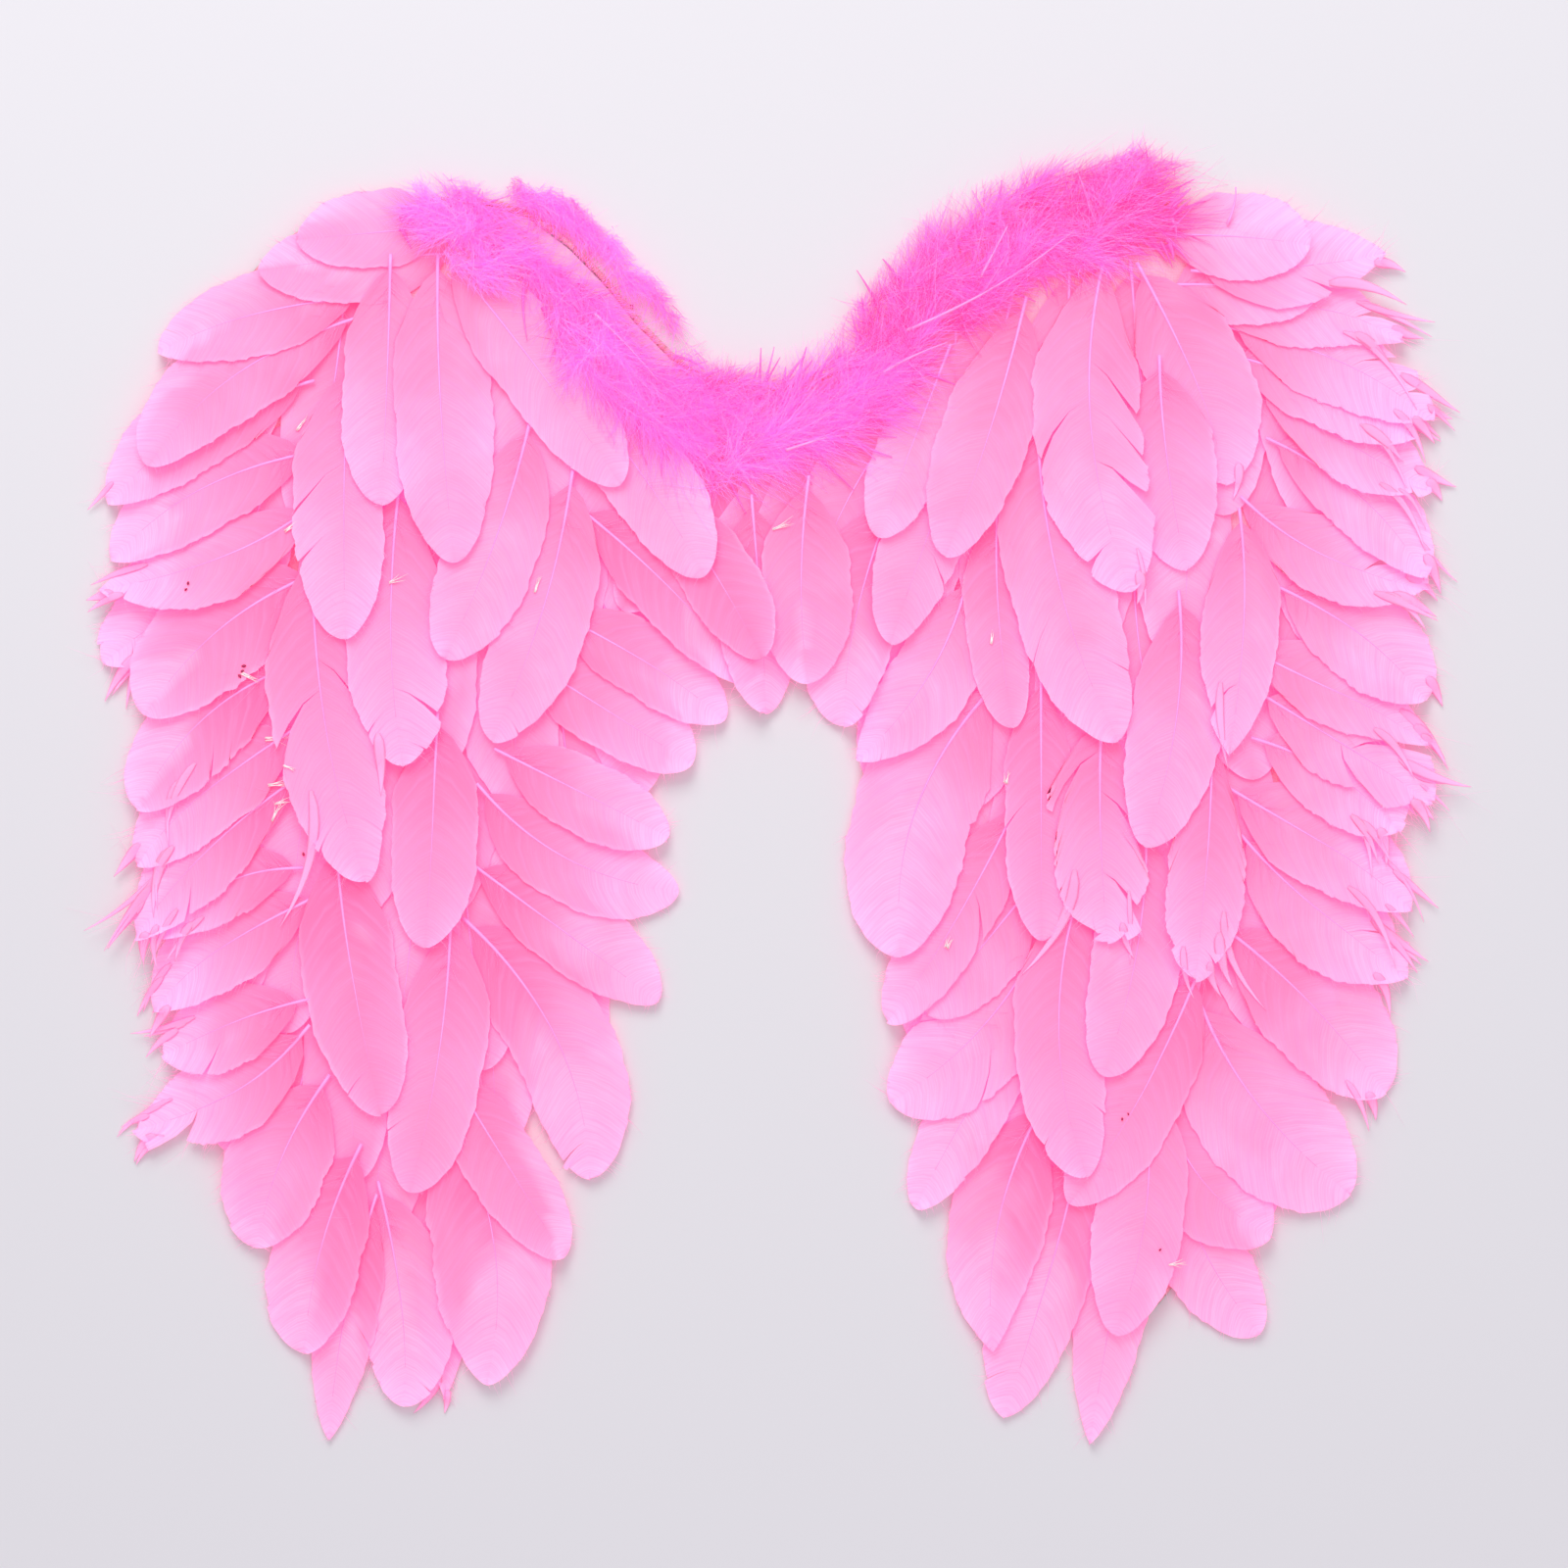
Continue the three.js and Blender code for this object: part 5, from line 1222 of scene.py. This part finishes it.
def add_plume(parts, ground, position):
    """One marabou plume: a rachis along the trim with clumps of loose barbs all round it. The
    first plumes point back, past the end of the trim."""
    middle, along, width = trim_at(position)
    deep = np.interp(position, np.arange(len(TRIM)), [row["deep"] for row in TRIM])
    size = width / TRIM_WIDTH
    normal = np.array([-along[1], along[0]])
    offset = RNG.uniform(-0.27, 0.38) * width
    if WIRE_SHOWS[0] < position < WIRE_SHOWS[1]:
        outside = RNG.uniform() < PLUMES_OUTSIDE
        offset = (OUTSIDE_AT if outside else RNG.uniform(-0.42, 0.14)) * width
        size = size * (0.55 if outside else 0.88)
    turn = RNG.normal(0, 0.45)
    forward = along * math.cos(turn) + normal * math.sin(turn)
    forward = -forward if position < PLUMES_TURN_AT else forward
    start = middle + normal * offset - forward * PLUME_LENGTH * size / 2
    low = float(ground.height(middle + normal * offset))
    share = np.sort(RNG.uniform(0.02, 1.0, CLUMPS))
    bow = RNG.uniform(-0.12, 0.12) * PLUME_LENGTH
    sideways = np.array([-forward[1], forward[0]])
    spine = start + forward * (share * PLUME_LENGTH * size)[:, None]
    spine = spine + sideways * (bow * 4 * share * (1 - share))[:, None]
    lift = low + TRIM_LOW + RNG.uniform(0, TRIM_RISE) + 2.0 * np.sin(share * math.pi)
    around = RNG.uniform(-1.9, 1.9, CLUMPS)
    lean = RNG.uniform(0.5, 1.5, CLUMPS) * (1.15 - 0.5 * share)
    lengths = size * BARB_LENGTH * RNG.uniform(0.6, 1.15, CLUMPS) * (0.75 + 0.5 * np.sin(share * 2.6))
    around = np.repeat(around, CLUMP_BARBS) + RNG.normal(0, 0.55, CLUMPS * CLUMP_BARBS)
    lean = np.repeat(lean, CLUMP_BARBS) + RNG.normal(0, 0.34, CLUMPS * CLUMP_BARBS)
    lengths = np.repeat(lengths, CLUMP_BARBS) * RNG.uniform(0.65, 1.15, CLUMPS * CLUMP_BARBS)
    origin = np.repeat(np.concatenate([spine, lift[:, None]], axis=1), CLUMP_BARBS, axis=0)
    origin = origin + RNG.normal(0, 2.0, origin.shape) * [1, 1, 0.4]
    origin[:, 2] = np.maximum(origin[:, 2], low + 0.5)
    ahead = np.array([forward[0], forward[1], 0.0])
    aside = np.array([sideways[0], sideways[1], 0.0])
    out = np.sin(around)[:, None] * aside + np.cos(around)[:, None] * np.array([0, 0, 0.5])
    direction = np.cos(lean)[:, None] * ahead + np.sin(lean)[:, None] * out
    bend = 0.35 * RNG.uniform(0.3, 1.0, (len(lean), 1)) * ahead + RNG.normal(0, 0.34, out.shape)
    bend = bend + np.array([0, 0, -0.22])
    direction[:, 2] = np.maximum(direction[:, 2], (FLOOR_CLEARANCE - origin[:, 2]) / lengths)
    ends = origin + (direction + bend) * lengths[:, None]
    reach = (np.stack([origin[:, :2], ends[:, :2]]) - middle) @ normal
    over = np.abs(reach[1]) - width / 2 - TRIM_OVERHANG
    lengths = lengths * np.clip(1 - over / np.maximum(np.abs(reach[1] - reach[0]), 1), 0.4, 1)
    ends = origin + (direction + bend) * lengths[:, None]
    floor = ground.height(ends[:, :2]) + 0.4
    bend[:, 2] += np.maximum(0, floor - ends[:, 2]) / lengths
    bend[:, 2] -= np.maximum(0, ends[:, 2] - TRIM_TOP) / lengths
    light = np.repeat(RNG.uniform(-0.3, 0.5) + RNG.uniform(-0.1, 0.6, CLUMPS), CLUMP_BARBS)
    dark = np.repeat(deep + RNG.uniform(-0.5, 0.6) + RNG.uniform(-0.3, 1.1, CLUMPS), CLUMP_BARBS)
    # Painted shade: the deep channel is painted higher on barbs that start low in the mass.
    tones = np.stack([
        np.clip(light, 0, 1), RNG.uniform(0, 0.7, len(lean)),
        np.clip(dark - (origin[:, 2] - low) / 9, 0, 0.9)], axis=1)
    radius = BARB_RADIUS * RNG.uniform(0.7, 1.2, len(lean))
    add_barbs(parts, origin, direction, bend, lengths, radius, tones, segments=3)


def add_bed(parts, ground, start, stop):
    """The matted down under the loose barbs: soft locks that lie side by side across the trim,
    pointing out and along it."""
    position = RNG.uniform(start, stop, BED_LOCKS)
    middle, along, width = trim_at(position)
    normal = np.stack([-along[:, 1], along[:, 0]], axis=1)
    size = (width / TRIM_WIDTH)[:, None]
    offset = RNG.uniform(-0.26, 0.30, (BED_LOCKS, 1))
    shows = ((position > WIRE_SHOWS[0]) & (position < WIRE_SHOWS[1]))[:, None]
    offset = np.where(shows, RNG.uniform(-0.26, 0.10, (BED_LOCKS, 1)), offset)
    origin = middle + normal * offset * width[:, None]
    out = np.where(offset > RNG.normal(0, 0.1, (BED_LOCKS, 1)), 1.0, -1.0)
    out = np.where(shows, -1.0, out)
    lean = RNG.uniform(0.2, 1.3, (BED_LOCKS, 1))
    flat = along * np.cos(lean) + normal * out * np.sin(lean)
    height = ground.height(origin) + RNG.uniform(1.0, 3.5, BED_LOCKS)
    origin = np.concatenate([origin, height[:, None]], axis=1)
    direction = np.concatenate([flat, np.full((BED_LOCKS, 1), 0.05)], axis=1)
    bend = RNG.normal(0, 0.2, (BED_LOCKS, 3)) * [1, 1, 0.1]
    length = BED_LENGTH * size[:, 0] * RNG.uniform(0.7, 1.2, BED_LOCKS)
    radius = BED_WIDTH * RNG.uniform(0.7, 1.3, BED_LOCKS)
    tones = np.stack([np.zeros(BED_LOCKS), RNG.uniform(0, 0.3, BED_LOCKS),
                      RNG.uniform(0.2, 0.6, BED_LOCKS)], axis=1)
    add_barbs(parts, origin, direction, bend, length, radius, tones, segments=5)


def add_bare_shaft(parts, ground, shaft):
    """A marabou shaft on top of the down."""
    first, last = place(shaft["x0"], shaft["y0"]), place(shaft["x1"], shaft["y1"])
    share = np.linspace(0, 1, SHAFT_POINTS)[:, None]
    aside = np.array([first[1] - last[1], last[0] - first[0]])
    flat = first + share * (last - first) + aside * 4 * shaft["bow"] * share * (1 - share)
    height = np.array([float(ground.height(point)) for point in flat])
    level = blurred(height[:, None], 4) + SHAFT_HEIGHT
    radii = np.linspace(0.75, 0.25, SHAFT_POINTS)
    add_tube(parts, np.concatenate([flat, level], axis=1), radii, 6, slot=1)


def lay_trim(ground, row, materials):
    """One length of the marabou trim."""
    parts = MeshParts()
    add_bed(parts, ground, row["start"], row["stop"])
    first, last = np.clip([row["start"], row["stop"]], *PLUMES_FROM_TO)
    for k in range(PLUMES):
        share = (k + RNG.uniform(0.2, 0.8)) / PLUMES
        add_plume(parts, ground, float(first + share * (last - first)))
    for shaft in TRIM_RACHIDES:
        if shaft["name"] == row["name"]:
            add_bare_shaft(parts, ground, shaft)
    dress(parts.make(f"{row['name']}_down", materials), "marabou", row["name"])


# Loose bits on the feathers

def lay_undyed(ground, material):
    """Little tufts of barbs without dye, flat on the feathers they came from."""
    rows = [row for row in UNDYED for _ in range(UNDYED_BARBS)]
    count = len(rows)
    flat = np.array([place(row["x"], row["y"]) for row in rows])
    turn = np.radians([row["turn"] for row in rows]) + RNG.normal(0, 0.1, count)
    origin = np.concatenate([flat, ground.height(flat)[:, None] + 0.5], axis=1)
    origin = origin + RNG.normal(0, 0.4, (count, 3)) * [1, 1, 0.2]
    direction = np.stack([np.cos(turn), np.sin(turn), np.zeros(count)], axis=1)
    bend = RNG.normal(0, 0.12, (count, 3)) * [1, 1, 0.1]
    length = np.array([float(row["length"]) for row in rows]) * RNG.uniform(0.6, 1.0, count)
    parts = MeshParts()
    add_barbs(parts, origin, direction, bend, length, np.full(count, UNDYED_RADIUS),
              np.zeros((count, 3)), segments=5)
    dress(parts.make("undyed_barbs", [material]), "feathers")


def lay_quill_end(ground, material):
    """A bare quill end that stands out at the top of the right wing."""
    first, last = place(0.688, 0.962), place(0.700, 0.991)
    steps = np.linspace(0, 1, 7)[:, None]
    flat = first + steps * (last - first) + np.array([1.2, 0.0]) * 4 * steps * (1 - steps)
    level = float(ground.height(first)) + 1.0 + 2.0 * steps
    parts = MeshParts()
    add_tube(parts, np.concatenate([flat, level], axis=1), np.linspace(0.75, 0.3, 7), 6)
    dress(parts.make("quill_end", [material]), "feathers")


def lay_crumbs(ground, material):
    """Crumbs of dried dye, small flat lumps."""
    parts = MeshParts()
    for row in CRUMBS:
        flat = place(row["x"], row["y"])
        turn = RNG.uniform(0, 6)
        ahead = np.array([math.cos(turn), math.sin(turn)]) * row["length"]
        steps = np.linspace(-0.5, 0.5, 5)[:, None]
        level = 0 * steps + ground.height(flat) + 0.4
        centres = np.concatenate([flat + steps * ahead, level], axis=1)
        radii = row["length"] * np.array([0.1, 0.3, 0.34, 0.26, 0.08])
        add_tube(parts, centres, radii, 7, flat=0.5)
    dress(parts.make("dye_crumbs", [material]), "feathers")


# The frame under the feathers


def cover_frame(ground):
    """Raises the ground over the wire and inside the rim, where the panels lie."""
    for side in (-1, 1):
        points = np.array([place(side * row["x"], row["y"]) for row in RIM])
        outline = spline(points, np.linspace(0, 1, OUTLINE_POINTS))
        x = ground.low[0] + (np.arange(ground.heights.shape[0]) + 0.5) * CELL
        y = ground.low[1] + (np.arange(ground.heights.shape[1]) + 0.5) * CELL
        grid_x, grid_y = np.meshgrid(x, y, indexing="ij")
        inside = np.zeros(grid_x.shape, bool)
        for (x0, y0), (x1, y1) in zip(outline, np.roll(outline, -1, axis=0)):
            if y0 == y1:
                continue
            crossing = (grid_y >= min(y0, y1)) & (grid_y < max(y0, y1))
            inside ^= crossing & (grid_x < x0 + (grid_y - y0) * (x1 - x0) / (y1 - y0))
        ground.heights[inside] = np.maximum(ground.heights[inside], PANEL_TOP)
        fine = spline(points, np.linspace(0, 1, 3000))
        ground.raise_to(fine, np.full(len(fine), WIRE_DIAMETER))


# Camera, floor and light

def aim_camera():
    """Straight above the wings, as the photograph was taken."""
    data = bpy.data.cameras.new("camera")
    data.lens = LENS
    data.sensor_width = SENSOR
    distance = PHOTO_WIDTH / SENSOR * LENS + FEATHER_LEVEL
    camera = bpy.data.objects.new("camera", data)
    camera.location = (PHOTO_CENTRE[0] * MM, PHOTO_CENTRE[1] * MM, distance * MM)
    bpy.context.collection.objects.link(camera)
    bpy.context.scene.camera = camera


def lay_floor(material):
    half = FLOOR_HALF
    mesh = bpy.data.meshes.new("floor")
    corners = [(-half, -half, 0), (half, -half, 0), (half, half, 0), (-half, half, 0)]
    mesh.from_pydata(corners, [], [(0, 1, 2, 3)])
    mesh.materials.append(material)
    floor = bpy.data.objects.new("floor", mesh)
    bpy.context.collection.objects.link(floor)


def hang_light(name, location, size, power):
    """A square soft box that faces the middle of the wings."""
    data = bpy.data.lights.new(name, "AREA")
    data.size = size
    data.energy = power
    light = bpy.data.objects.new(name, data)
    light.location = location
    aim = -np.array(location)
    yaw = math.atan2(aim[1], aim[0])
    pitch = math.acos(-aim[2] / np.linalg.norm(aim))
    light.rotation_euler = (pitch, 0, yaw - math.pi / 2)
    bpy.context.collection.objects.link(light)


def light_studio():
    hang_light("key_soft_box", (-0.3, 1.5, 1.5), 1.2, 25)
    hang_light("fill_soft_box", (0.8, 0.2, 2.4), 1.8, 8)
    world = bpy.data.worlds.new("studio")
    world.use_nodes = True
    background = world.node_tree.nodes["Background"]
    background.inputs["Color"].default_value = linear("#FAF8FF")
    background.inputs["Strength"].default_value = 0.73
    scene = bpy.context.scene
    scene.world = world
    scene.view_settings.view_transform = "Standard"
    scene.view_settings.look = "None"


# The wings, in the order of laying

def build():
    vane, rachis, marabou = dyed_goose_vane(), dyed_rachis(), dyed_marabou()
    feather_materials = [vane, rachis]
    ground = Ground()
    tape, panel, elastic = wound_tape(), spunbond_panel(), knitted_elastic()
    for name, side in (("left", -1), ("right", 1)):
        wind_rim(f"rim_{name}", side, tape)
        for node, material in ((f"back_panel_{name}", panel), (f"arm_loop_{name}", elastic)):
            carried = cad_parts[node]
            carried.data.materials.clear()
            carried.data.materials.append(material)
    cover_frame(ground)
    lay_under_feathers(ground, "under_feathers_left", -1, feather_materials)
    lay_under_feathers(ground, "under_feathers_right", 1, feather_materials)
    for node, rows in FANS:
        lay_fan(ground, node, rows, feather_materials)
    lay_covers(ground, "cover_feather_left", COVERS_LEFT, feather_materials)
    lay_covers(ground, "cover_feather_right", COVERS_RIGHT, feather_materials)
    lay_undyed(ground, undyed_barbs())
    lay_crumbs(ground, dried_dye())
    lay_quill_end(ground, rachis)
    for row in TRIM_LENGTHS:
        lay_trim(ground, row, [marabou, rachis])
    lay_floor(studio_paper())
    aim_camera()
    light_studio()



build()
